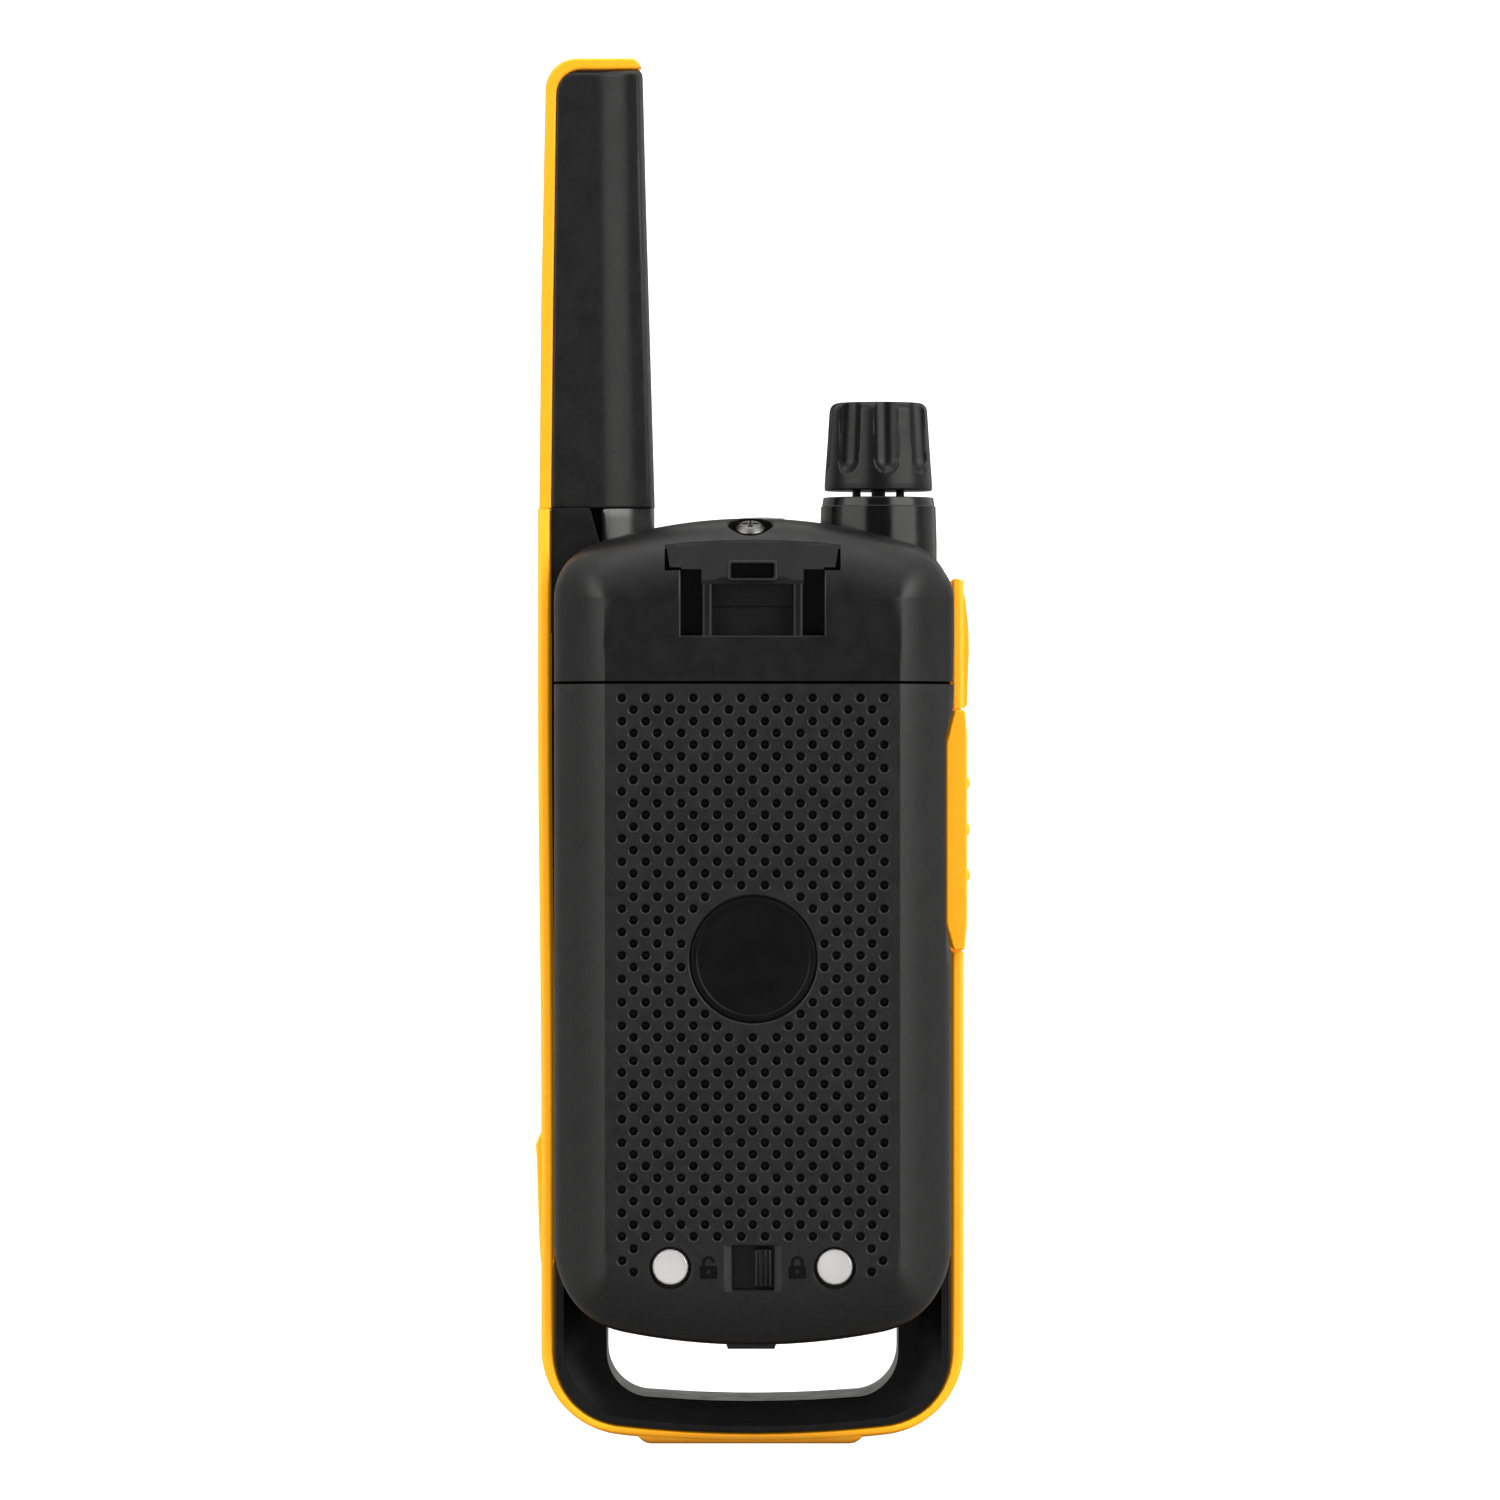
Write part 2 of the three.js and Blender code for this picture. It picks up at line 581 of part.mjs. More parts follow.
// A plate across the cells, with a tab on its outer side.
const batteryContact = (plateZ, tabX, tabZ) =>
  box([-21.6, 21.6], [1.2, 12.6], plateZ).add(box(tabX, [5, 9], tabZ));

const battery = group(back, [0, CELL.y, CELL.z]);
for (let i = 0; i < 3; i++) {
  const x = (i - 1) * CELL.pitch;
  const flipped = i === 1; // the middle cell stands button down
  const rotation = [flipped ? Math.PI : 0, 0, 0];
  const position = [x, 0, flipped ? CELL.length : 0];
  add(battery, `battery_cell_${i + 1}`, cell(), "cell", position, rotation);
}
const topContact = batteryContact([92.9, 93.3], [-20, -16], [93.2, 95.4]);
const bottomContact = batteryContact([41.1, 41.5], [16, 20], [39.2, 41.3]);
add(back, "battery_contact_top", topContact, "nickel");
add(back, "battery_contact_bottom", bottomContact, "nickel");

// ---------------------------------------------------------------- battery door
function batteryDoor() {
  const belowSeam = box([-FAR, FAR], [DOOR_LOW_Y, 30], [0, DOOR_TOP_Z]);
  const skin = rearBody(0, DOOR_LOW_Y).intersect(belowSeam).subtract(rearBody(WALL, -5));
  const bottomTab = slab([[-3.8, 15], [-3.1, 13.6], [3.1, 13.6], [3.8, 15]], 7.5, 12.3);
  const pocketed = cut(
    skin.add(bottomTab),
    pttPocket(),
    // runs on to the top edge, so the side wall clears the button while the door tilts
    box([-FAR, PTT.pocketX], [-5, 8], [PTT.z1 - 2.1, DOOR_TOP_Z + 1]),
  );
  const reliefWall = box([PTT.pocketX, -24.6], [DOOR_LOW_Y, 10.2], [PTT.z0 - 1, DOOR_TOP_Z]);
  const contactHoles = [-1, 1].map((side) =>
    rodAlongY(CONTACT.r + GAP, side * CONTACT.x, CONTACT.z, 10, 30, 18),
  );
  return cut(
    pocketed.add(reliefWall),
    rodAlongY(BADGE.r + GAP, BADGE.x, BADGE.z, 15.9, 30, 32),
    ...contactHoles,
    // latch slot
    box([-2.97, 2.8], [10, 30], [21.9, 28]),
  );
}

// Open along the top and beside the push to talk pocket.
const doorSeal = () =>
  cut(
    ring(compartmentOutline(3, 103.5), compartmentOutline(3.55, 103), 0.1, 0.6),
    box([-30, -22], [-1, 2], [66, 103]),
    box([-30, 30], [-1, 2], [100, 110]),
  );

// [radius, y]
const CHARGE_PROFILE = [
  [0, 12.6], [1.4, 12.6], [1.4, 13.3], [3.3, 13.3], [3.3, 14.5],
  [CONTACT.r, 14.5], [CONTACT.r, 16.2], [CONTACT.r - 0.3, 16.5], [0, 16.5],
];

function doorLatch() {
  const grooves = [-2.05, -1.45, -0.85].map((x) =>
    box([x - 0.14, x + 0.14], [15.9, 17], [22, 28]),
  );
  const thumbPiece = cut(box([-2.64, -0.26], [13.9, 16.3], [22.4, 27.5]), ...grooves);
  const slide = box([-6, 3.2], [13.2, 14.5], [20.9, 29.1]);
  const tongue = box([-4.1, -1.3], [13.2, 14.5], [18.9, 21]);
  return fuse(thumbPiece, slide, tongue);
}

const doorGroup = group(back);
add(doorGroup, "battery_door", batteryDoor(), "door");
add(doorGroup, "door_seal", doorSeal(), "rubber");
const badge = rod(BADGE.r, 16.2, 16.75, 32, "y");
add(doorGroup, "door_badge", badge, "badge", [BADGE.x, 0, BADGE.z]);
// left and right as seen from the back
for (const [name, side] of [["charge_contact_left", 1], ["charge_contact_right", -1]]) {
  const contact = turned(CHARGE_PROFILE, 18, "y");
  add(doorGroup, name, contact, "nickel", [side * CONTACT.x, 0, CONTACT.z]);
}
add(doorGroup, "door_latch", doorLatch(), "gloss");

// ---------------------------------------------------------------- side controls
function pttButton() {
  const { z0, z1 } = PTT;
  const outline = [
    [-27.6, z0], [-26.9, z0 + 3.4], [-26.9, z1 - 3.4], [-27.6, z1],
    [-28.9, z1], [-29.5, z1 - 2.5], [-29.5, z0 + 2.5], [-28.9, z0],
  ];
  const ribs = [78.3, 84.6, 91].map((z) =>
    slab([[-29.2, z - 1], [-29.2, z + 1], [-30, z + 0.5], [-30, z - 0.5]], -9, 2),
  );
  const plunger = box([-27.2, -25.3], [-5.6, -2.9], [82.2, 87]);
  return fuse(slab(outline, -12.9, 6), ...ribs, plunger);
}
function jackCover() {
  const { z0, z1 } = JACK_COVER;
  const outline = [
    [-27.6, z0], [-27.6, z1], [-28.7, z1], [-29.5, z1 - 2], [-29.5, z0 + 1.5], [-29.2, z0],
  ];
  const plug = rodAlongX(1.2, JACK_Y, JACK_Z, -27.8, -26.6, 12);
  return slab(outline, ...COVER_Y).add(plug);
}
function usbCover() {
  const { z0, z1 } = USB_COVER;
  const outline = [
    [27.6, z0], [29.2, z0], [29.5, z0 + 3], [29.9, z1 - 2], [29.6, z1], [27.6, z1],
  ];
  return slab(outline, ...COVER_Y);
}

const sides = group(radio);
add(sides, "ptt_button", pttButton(), "yellow");
add(sides, "accessory_port_cover", jackCover(), "yellow");
add(sides, "usb_port_cover", usbCover(), "yellow");

// ---------------------------------------------------------------- antenna
const ANT_LOW_Z = 129.1;
const ANT_TOP_Z = 191;
const ROD_R = 4.2;
const BLADE_HALF_T = 2.8;
const COIL = { x: 0.5, r: 1.15, z: 140, height: 45, turns: 7, wireR: 0.35 };

// Front-view outlines in the radio's X and Z, moved to the antenna axis.
const fromAxis = (points) => points.map(([x, z]) => [x - ANT_X, z]);
const STRIP_OUTER = fromAxis([
  [13.5, ANT_LOW_Z],
  [29.45, ANT_LOW_Z],
  [29.2, 156],
  [28.6, 186],
  ...arc(24.2, 186.6, 4.4, 0, Math.PI / 2, 5),
  [16.2, ANT_TOP_Z],
  [15.6, 190.2],
  [15.2, 189.7],
]);
const STRIP_INNER = fromAxis([
  [10, 120],
  [28.1, 120],
  [27.9, 156],
  [27.3, 185.6],
  ...arc(23.9, 186, 3.45, 0, Math.PI / 2, 4),
  [10, 189.45],
]);
const SHEATH_OUTLINE = fromAxis([
  [13.5, ANT_LOW_Z],
  [27.9, ANT_LOW_Z],
  [27.65, 156],
  [27.1, 185.6],
  ...arc(23.8, 186, 3.25, 0, Math.PI / 2, 4),
  [15.2, 189.25],
  [14.7, 170],
  [14.2, 153],
]);

// A round rod with a flat blade towards +X, bored for the stud and the coil.
function antennaSheath() {
  const joinAngle = 0.73; // where the rod meets the blade
  const section = [
    [2.6, -BLADE_HALF_T],
    [13, -BLADE_HALF_T],
    [13, BLADE_HALF_T],
    [2.6, BLADE_HALF_T],
    ...arc(0, 0, ROD_R, joinAngle, 2 * Math.PI - joinAngle, 12),
  ];
  return cut(
    slab(SHEATH_OUTLINE, -6, 6).intersect(post(section, 100, 200)),
    rod(2.2, 120, 139.8, 14),
    rodAt(1.75, COIL.x, 0, 139, 187, 12),
  );
}
const antennaStrip = () =>
  slab(STRIP_OUTER, -BLADE_HALF_T, BLADE_HALF_T).subtract(slab(STRIP_INNER, -10, 10));

class Helix extends THREE.Curve {
  getPoint(t, target = new THREE.Vector3()) {
    const angle = t * 2 * Math.PI * COIL.turns;
    const x = COIL.x + COIL.r * Math.cos(angle);
    return target.set(x, COIL.r * Math.sin(angle), COIL.z + COIL.height * t);
  }
}
function antennaCoil() {
  const { wireR } = COIL;
  const section = shapeOf([[wireR, 0], [0, wireR], [-wireR, 0], [0, -wireR]]);
  const options = { extrudePath: new Helix(), steps: 56, bevelEnabled: false };
  return solid(new THREE.ExtrudeGeometry(section, options));
}

const antenna = group(radio, [ANT_X, ANT_Y, 0]);
add(antenna, "antenna_sheath", antennaSheath(), "black");
add(antenna, "antenna_strip", antennaStrip(), "yellow");
add(antenna, "antenna_socket", tube(3.75, 2.2, 121.9, 128.8, 20), "gloss");
add(antenna, "antenna_stud", rod(1.9, 113, 139, 14), "brass");
add(antenna, "antenna_coil", antennaCoil(), "brass");

// ---------------------------------------------------------------- volume knob
const KNOB = { lowZ: 131.3, topZ: 143.5, lowR: 7.45, highR: 6.73, boreR: 2.6, boreTopZ: 139.6 };
const FLUTES = { count: 8, r: 1.75, axisR: 8.28, z: 133.7, lean: -3.9, turn: 98.6 }; // degrees

// [radius, z]
const COLLAR_PROFILE = [
  [3.9, 121.3], [COLLAR_R, 121.3], [COLLAR_R, 128.9], [7.9, 129.8], [7.6, 130.4], [4.3, 130.4],
  [4.3, 128], [5.6, 127], [5.6, 123.3], [3.9, 123.3], [3.9, 121.3],
];
const SHAFT_PROFILE = [
  [0, 113.4], [2.3, 113.4], [2.3, 128.6], [3.6, 128.6],
  [3.6, 131], [2.3, 131], [2.3, 139.2], [0, 139.2],
];
const KNOB_PROFILE = [
  [KNOB.boreR, KNOB.lowZ], [KNOB.lowR, KNOB.lowZ], [KNOB.lowR, 132.2], [KNOB.highR, 141.8],
  [6.4, 142.8], [5.5, KNOB.topZ], [0, KNOB.topZ], [0, KNOB.boreTopZ],
  [KNOB.boreR, KNOB.boreTopZ], [KNOB.boreR, KNOB.lowZ],
];

const encoderBody = () =>
  box([-5.6, 5.6], [-6, 6], [112, 118.6])
    .add(rod(3.5, 118.5, 126, 16))
    .subtract(rod(2.6, 113, 130, 14));

function volumeKnob() {
  const flutes = Array.from({ length: FLUTES.count }, (_, i) =>
    rod(FLUTES.r, 0, 16, 8)
      .rotate([0, FLUTES.lean, 0])
      .translate([FLUTES.axisR, 0, FLUTES.z])
      .rotate([0, 0, FLUTES.turn + (i * 360) / FLUTES.count]),
  );
  return cut(turned(KNOB_PROFILE, 32), ...flutes);
}

const volume = group(radio, [KNOB_X, KNOB_Y, 0]);
add(volume, "knob_collar", turned(COLLAR_PROFILE, 22), "gloss");
add(volume, "encoder_body", encoderBody(), "steel");
add(volume, "encoder_nut", tubeNut(), "nickel");
add(volume, "shaft_seal", tube(3.3, 2.6, 126.3, 127.2, 14), "rubber");
add(volume, "knob_shaft", turned(SHAFT_PROFILE, 14), "gloss");
add(volume, "volume_knob", volumeKnob(), "black");

// Hexagonal, with a round bore.
function tubeNut() {
  return rod(5.1, 123.6, 125.4, 6).subtract(rod(3.8, 120, 130, 16));
}

// ---------------------------------------------------------------- torch
// [radius, z]
const LENS_PROFILE = [[0, 126.4], [3.9, 126.4], [3.9, 127.2], [3, 127.7], [0, 127.9]];
const REFLECTOR_PROFILE = [
  [1.3, 119.6], [1.8, 119.6], [4, 125.4], [4, 126.1], [3.6, 126.1], [1.3, 120.4], [1.3, 119.6],
];
const torchLed = () =>
  box([-2.4, 2.4], [-2.4, 2.4], [118, 119.2]).add(rod(0.9, 119.1, 120.4, 10));

const torch = group(radio, [TORCH_X, TORCH_Y, 0]);
add(torch, "torch_lens", turned(LENS_PROFILE, 20), "glass");
add(torch, "torch_reflector", turned(REFLECTOR_PROFILE, 20), "nickel");
add(torch, "torch_led", torchLed(), "glass");

export default radio;
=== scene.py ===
# Looks for a two way radio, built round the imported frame. It stands upright on Z = 0: X runs
# across, the display and keys face -Y, the battery door faces +Y, and the antenna rises on +X.
# Pieces are modelled in millimetres and turned into metres when they are finished.
import math

import bmesh
import bpy
import numpy as np
from mathutils import Matrix, Vector
from mathutils.geometry import delaunay_2d_cdt


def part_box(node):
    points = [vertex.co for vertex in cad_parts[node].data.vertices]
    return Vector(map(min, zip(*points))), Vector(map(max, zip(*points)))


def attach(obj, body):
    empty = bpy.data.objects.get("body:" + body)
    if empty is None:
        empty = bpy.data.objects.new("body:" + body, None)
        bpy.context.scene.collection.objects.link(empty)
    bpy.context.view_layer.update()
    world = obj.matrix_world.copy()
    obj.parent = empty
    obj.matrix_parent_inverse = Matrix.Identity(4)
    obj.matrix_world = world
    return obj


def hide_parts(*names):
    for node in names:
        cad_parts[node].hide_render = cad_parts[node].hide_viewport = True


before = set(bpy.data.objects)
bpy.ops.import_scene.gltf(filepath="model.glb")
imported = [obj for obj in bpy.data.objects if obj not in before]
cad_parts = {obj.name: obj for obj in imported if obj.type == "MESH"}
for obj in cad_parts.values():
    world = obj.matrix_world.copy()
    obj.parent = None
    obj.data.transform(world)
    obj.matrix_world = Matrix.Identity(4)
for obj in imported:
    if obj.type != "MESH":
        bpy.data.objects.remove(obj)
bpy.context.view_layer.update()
scene = bpy.context.scene
PI = math.pi


def box_of(node):
    """The low and high corners of a frame node, in millimetres."""
    low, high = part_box(node)
    return np.array(low, float) * 1000.0, np.array(high, float) * 1000.0


def centre_of(node):
    low, high = box_of(node)
    return (low + high) / 2


# ------------------------------------------------------------------ sizes read from the frame
DOOR_LO, DOOR_HI = box_of("battery_door")
RAIL_LO, RAIL_HI = box_of("bumper_frame")
KNOB_LO, KNOB_HI = box_of("volume_knob")
BADGE_LO, BADGE_HI = box_of("door_badge")
LENS_LO, LENS_HI = box_of("display_lens")
TALK_LO, TALK_HI = box_of("ptt_button")
JACK_LO, JACK_HI = box_of("accessory_port_cover")
USB_LO, USB_HI = box_of("usb_port_cover")
BACK_Y = DOOR_HI[1]
SIDE_X = DOOR_HI[0]
DOOR_TOP = DOOR_HI[2]
RAIL_BACK = RAIL_HI[1]
REAR_FRONT_Y = box_of("rear_housing")[0][1]
SOCKET_Z = box_of("antenna_socket")[0][2]
ANTENNA_TOP = box_of("antenna_sheath")[1][2]
KNOB_X, KNOB_Y = centre_of("knob_collar")[:2]
ANTENNA_X, ANTENNA_Y = centre_of("antenna_socket")[:2]
BADGE_X, _, BADGE_Z = centre_of("door_badge")
BADGE_R = (BADGE_HI[0] - BADGE_LO[0]) / 2
JACK_Z = centre_of("accessory_socket")[2]
SPEAKER_X, _, SPEAKER_Z = centre_of("speaker_mesh")
CELL_PITCH = centre_of("battery_cell_3")[0] - centre_of("battery_cell_2")[0]

# ------------------------------------------------------------------ driving sizes
PANEL_X = 20.1  # half width of the flat part of the back
ARCH_TOP, ARCH_R, ARCH_CORNER = 127.3, 69.0, 8.0  # top arch: height, radius, corner radius
DOOR_BOTTOM, DOOR_R, DOOR_CORNER = 14.1, 90.0, 12.3  # the same for the door's lower edge
HALF = 29.1  # half width over the rails
BOTTOM_Z, BOTTOM_R, RAIL_CORNER = 0.2, 165.0, 12.0  # lower edge of the rails
RAIL_T = 1.55  # thickness of a side rail
FRONT_Y = -16.5
PANEL_Y = FRONT_Y + 0.45  # floor of the shallow panel round the display and keys
SEAM_TOP = DOOR_TOP + 0.4
BAND_Y = 1.4  # the rail runs on behind both rubber covers from here, as a narrow band
SCREW_TILT = 0.384  # radians the top screw leans back
SCREW_POS = Vector((0.3, 10.4, 124.9))
BLADE = 2.8  # half thickness of the antenna's blade
ANTENNA_FOOT = 128.83
FOOT_X = 13.55  # low X edge of the antenna foot
KEY_R = {"key_menu": 2.2, "key_scan": 2.2, "key_up": 2.0, "key_down": 2.0, "key_call": 2.2,
         "key_torch": 2.2}  # corner radii


# ------------------------------------------------------------------ mesh helpers
def mesh_object(name, verts, faces, weld=1e-4):
    mesh = bpy.data.meshes.new(name)
    mesh.from_pydata([tuple(map(float, vert)) for vert in verts], [], [tuple(f) for f in faces])
    made = bpy.data.objects.new(name, mesh)
    scene.collection.objects.link(made)
    bm = bmesh.new()
    bm.from_mesh(mesh)
    if weld:
        bmesh.ops.remove_doubles(bm, verts=bm.verts, dist=weld)
    bmesh.ops.dissolve_degenerate(bm, edges=bm.edges, dist=1e-6)
    bmesh.ops.recalc_face_normals(bm, faces=bm.faces)
    bm.to_mesh(mesh)
    bm.free()
    mesh.update()
    return made


def combine(target, tools, operation):
    """Applies a boolean to target with each tool in turn, and removes the tools."""
    for tool in tools:
        modifier = target.modifiers.new("b", "BOOLEAN")
        modifier.operation = operation
        modifier.object = tool
        modifier.solver = "MANIFOLD"
        bpy.context.view_layer.update()
        graph = bpy.context.evaluated_depsgraph_get()
        result = bpy.data.meshes.new_from_object(target.evaluated_get(graph))
        target.modifiers.clear()
        before = target.data
        target.data = result
        bpy.data.meshes.remove(before)
        if len(result.polygons) == 0:
            raise RuntimeError("boolean left nothing: " + target.name + " with " + tool.name)
        tool_mesh = tool.data
        bpy.data.objects.remove(tool)
        bpy.data.meshes.remove(tool_mesh)


def cut(target, *tools):
    combine(target, tools, "DIFFERENCE")


def join(target, *tools):
    combine(target, tools, "UNION")


def meet(target, *tools):
    combine(target, tools, "INTERSECT")


def bridge(rings, first_cap=True, last_cap=True, loop=False):
    """Vertices and faces of a skin over rings with equal numbers of points."""
    size, count = len(rings[0]), len(rings)
    verts = np.concatenate([np.asarray(ring, float) for ring in rings])
    faces = []
    for k in range(count if loop else count - 1):
        here, after = k * size, ((k + 1) % count) * size
        for i in range(size):
            j = (i + 1) % size
            faces.append((here + i, here + j, after + j, after + i))
    if first_cap and not loop:
        faces.append(tuple(reversed(range(size))))
    if last_cap and not loop:
        faces.append(tuple((count - 1) * size + i for i in range(size)))
    return verts, faces


def offset(outline, distance):
    """An anticlockwise closed outline moved outwards, or inwards when distance is negative."""
    points = np.asarray(outline, float)
    if abs(distance) < 1e-9:
        return points.copy()
    edges = np.roll(points, -1, 0) - points
    length = np.maximum(np.linalg.norm(edges, axis=1), 1e-9)
    normal = np.stack([edges[:, 1], -edges[:, 0]], 1) / length[:, None]
    mitre = normal + np.roll(normal, 1, 0)
    mitre /= np.maximum(np.linalg.norm(mitre, axis=1), 1e-9)[:, None]
    cosine = np.maximum((mitre * normal).sum(1), 0.5)
    return points + mitre * (distance / cosine)[:, None]


def place(outline, level, axis):
    """Puts an outline at a level along an axis: y takes (x, z), z takes (x, y), x takes (y, z)."""
    points = np.asarray(outline, float)
    level = np.broadcast_to(np.asarray(level, float), (len(points),))
    return np.insert(points, "xyz".index(axis), level, axis=1)


def rim(outline, level, axis, radius, steps, inward, grow):
    """Rings round an edge from its end face at level; inward is the way into the solid along
    axis, and grow is 1 where the edge flares out towards that face and -1 where it tapers."""
    if radius <= 0:
        return [place(outline, level, axis)]
    rings = []
    for k in range(steps + 1):
        angle = k / steps * PI / 2
        moved = offset(outline, grow * radius * (1 - math.sin(angle)))
        rings.append(place(moved, level + inward * radius * (1 - math.cos(angle)), axis))
    return rings


def slab(name, outline, low, high, axis="y", r_low=0.0, r_high=0.0, steps=4):
    """A prism with rounded edges of radius r_low at low and r_high at high."""
    rings = rim(outline, low, axis, r_low, steps, 1, -1)
    rings += rim(outline, high, axis, r_high, steps, -1, -1)[::-1]
    return mesh_object(name, *bridge(rings))


def cutter(outline, low, high, axis="y"):
    return slab("cutter", outline, low, high, axis)


def hole(outline, low, high, axis="y", lip_low=0.0, lip_high=0.0, steps=4, poke=1.5):
    """A cutter whose rim opens with a rounded lip at low and/or high; an end without a lip is
    flat, and an end with one runs on past it by poke."""
    rings = rim(outline, low, axis, lip_low, steps, 1, 1)
    rings += rim(outline, high, axis, lip_high, steps, -1, 1)[::-1]
    if lip_low > 0:
        rings.insert(0, place(offset(outline, lip_low), low - poke, axis))
    if lip_high > 0:
        rings.append(place(offset(outline, lip_high), high + poke, axis))
    return mesh_object("cutter", *bridge(rings))


def box_cutter(x0, x1, y0, y1, z0, z1):
    return cutter(rect(x0, x1, z0, z1), y0, y1)


def rect(x0, x1, z0, z1, radius=0.0, steps=6):
    if radius <= 0:
        return np.array([[x0, z0], [x1, z0], [x1, z1], [x0, z1]], float)
    left, right, low, high = x0 + radius, x1 - radius, z0 + radius, z1 - radius
    points = []
    for x, z, start in ((right, low, -90), (right, high, 0), (left, high, 90), (left, low, 180)):
        for k in range(steps + 1):
            angle = math.radians(start + 90 * k / steps)
            points.append((x + radius * math.cos(angle), z + radius * math.sin(angle)))
    return np.array(points)


def face_rect(low, high, grow, radius, steps=6):
    """The rectangle a box shows from the front, grown all round."""
    return rect(low[0] - grow, high[0] + grow, low[2] - grow, high[2] + grow, radius, steps)


def circle(x, z, radius, sides=32):
    angle = np.arange(sides) / sides * 2 * PI
    return np.stack([x + radius * np.cos(angle), z + radius * np.sin(angle)], 1)


def arc(x, z, radius, start, end, steps):
    angle = np.linspace(start, end, steps + 1)
    return np.stack([x + radius * np.cos(angle), z + radius * np.sin(angle)], 1)


def dense(outline, spacing):
    """The same outline with extra points, so that it can follow a curved surface."""
    points = np.asarray(outline, float)
    out = []
    for i in range(len(points)):
        start, end = points[i], points[(i + 1) % len(points)]
        count = max(1, int(math.ceil(np.linalg.norm(end - start) / spacing)))
        for j in range(count):
            out.append(start + (end - start) * j / count)
    return np.array(out)


def lathe(name, profile, sides=64, centre=(0, 0), axis="z"):
    """A solid of revolution; profile is (radius, height), from axis to axis or a closed loop."""
    rings = [place(circle(*centre, max(radius, 0), sides), h, axis) for radius, h in profile]
    closed = np.allclose(profile[0], profile[-1])
    return mesh_object(name, *bridge(rings[:-1] if closed else rings, False, False, closed))


def fillet(profile, radii, steps=5):
    """Rounds the inner corners of an open profile, with one radius for each."""
    points = [np.array(point, float) for point in profile]
    out = [points[0]]
    for before, corner, after, radius in zip(points, points[1:], points[2:], radii):
        if radius <= 0:
            out.append(corner)
            continue
        back, ahead = before - corner, after - corner
        back_length, ahead_length = np.linalg.norm(back), np.linalg.norm(ahead)
        back, ahead = back / back_length, ahead / ahead_length
        angle = math.acos(float(np.clip((back * ahead).sum(), -0.9999, 0.9999)))
        reach = min(radius / math.tan(angle / 2), back_length * 0.49, ahead_length * 0.49)
        radius = reach * math.tan(angle / 2)
        middle = (back + ahead) / np.linalg.norm(back + ahead)
        centre = corner + middle * (radius / math.sin(angle / 2))
        start = math.atan2(*(corner + back * reach - centre)[::-1])
        end = math.atan2(*(corner + ahead * reach - centre)[::-1])
        turn = (end - start + PI) % (2 * PI) - PI
        for k in range(steps + 1):
            way = start + turn * k / steps
            out.append(centre + radius * np.array([math.cos(way), math.sin(way)]))
    out.append(points[-1])
    return np.array(out)


def loop_fillet(outline, radii, steps=6):
    """Rounds every corner of a closed outline."""
    out = []
    for i, radius in enumerate(radii):
        trio = [outline[i - 1], outline[i], outline[(i + 1) % len(outline)]]
        out += list(fillet(trio, [radius], steps)[1:-1])
    return np.array(out)


def smoothstep(value, start, width):
    share = np.clip((value - start) / width, 0, 1)
    return share * share * (3 - 2 * share)


def dip(share):
    """Runs from 0 to 1 along a quarter circle, steepest at 1."""
    return 1 - np.sqrt(np.maximum(0, 1 - share * share))


def edge_drop(distance, radius=1.0):
    """How far a rounded edge has dropped at a distance in from the rim."""
    return radius * dip(np.clip((radius - distance) / radius, 0, 1))


# ------------------------------------------------------------------ outlines of the casing
def bowl_half(half_width, corner, lowest, radius, inset, steps, corner_steps):
    """The +X half of a shallow bottom arc that runs into a round corner."""
    x, hub = half_width - corner, lowest + radius
    z = hub - math.sqrt((radius - corner) ** 2 - x * x)
    meeting = math.atan2(z - hub, x)
    return np.concatenate([arc(0, hub, radius - inset, -PI / 2, meeting, steps),
                           arc(x, z, corner - inset, meeting, 0, corner_steps)[1:]])


def rail_half(inset, steps=18, corner_steps=22):
    return bowl_half(HALF, RAIL_CORNER, BOTTOM_Z, BOTTOM_R, inset, steps, corner_steps)


def door_half(inset):
    return bowl_half(SIDE_X, DOOR_CORNER, DOOR_BOTTOM, DOOR_R, inset, 20, 20)


def arch_half(inset):
    x, hub = SIDE_X - ARCH_CORNER, ARCH_TOP - ARCH_R
    z = hub + math.sqrt((ARCH_R - ARCH_CORNER) ** 2 - x * x)
    meeting = math.atan2(z - hub, x)
    return np.concatenate([arc(x, z, ARCH_CORNER - inset, 0, meeting, 18),
                           arc(0, hub, ARCH_R - inset, meeting, PI / 2, 20)[1:]])


def rail_thin(z):
    """The yellow rail is thinner round the bottom than up the sides."""
    return 0.7 + 0.3 * smoothstep(np.asarray(z, float), 2.5, 11.5)


def thin_half(inset, steps=18, corner_steps=22):
    outer, inner = rail_half(0.0, steps, corner_steps), rail_half(1.0, steps, corner_steps)
    return outer + (inner - outer) * (inset * rail_thin(outer[:, 1]))[:, None]


def mirror_close(half):
    """Adds the -X half to an outline that starts, and may end, on X = 0."""
    half = np.asarray(half)
    inside = half[1:] if abs(half[-1][0]) > 1e-6 else half[1:-1]
    return np.concatenate([half, inside[::-1] * np.array([-1, 1])])


def rear_outline(inset):
    low, high = door_half(inset), arch_half(inset)
    z = np.linspace(low[-1][1], high[0][1], 15)[1:-1]
    side = np.stack([np.full(len(z), SIDE_X - inset), z], 1)
    return mirror_close(np.concatenate([low, side, high]))


def body_outline(inset):
    low, high = thin_half(inset), arch_half(inset - (HALF - SIDE_X))
    z = np.linspace(low[-1][1], high[0][1], 26)[1:-1]
    side = np.stack([HALF - inset * rail_thin(z), z], 1)
    return mirror_close(np.concatenate([low, side, high]))


def bay_outline(inset, top):
    return mirror_close(np.concatenate([door_half(inset), [[SIDE_X - inset, top]]]))


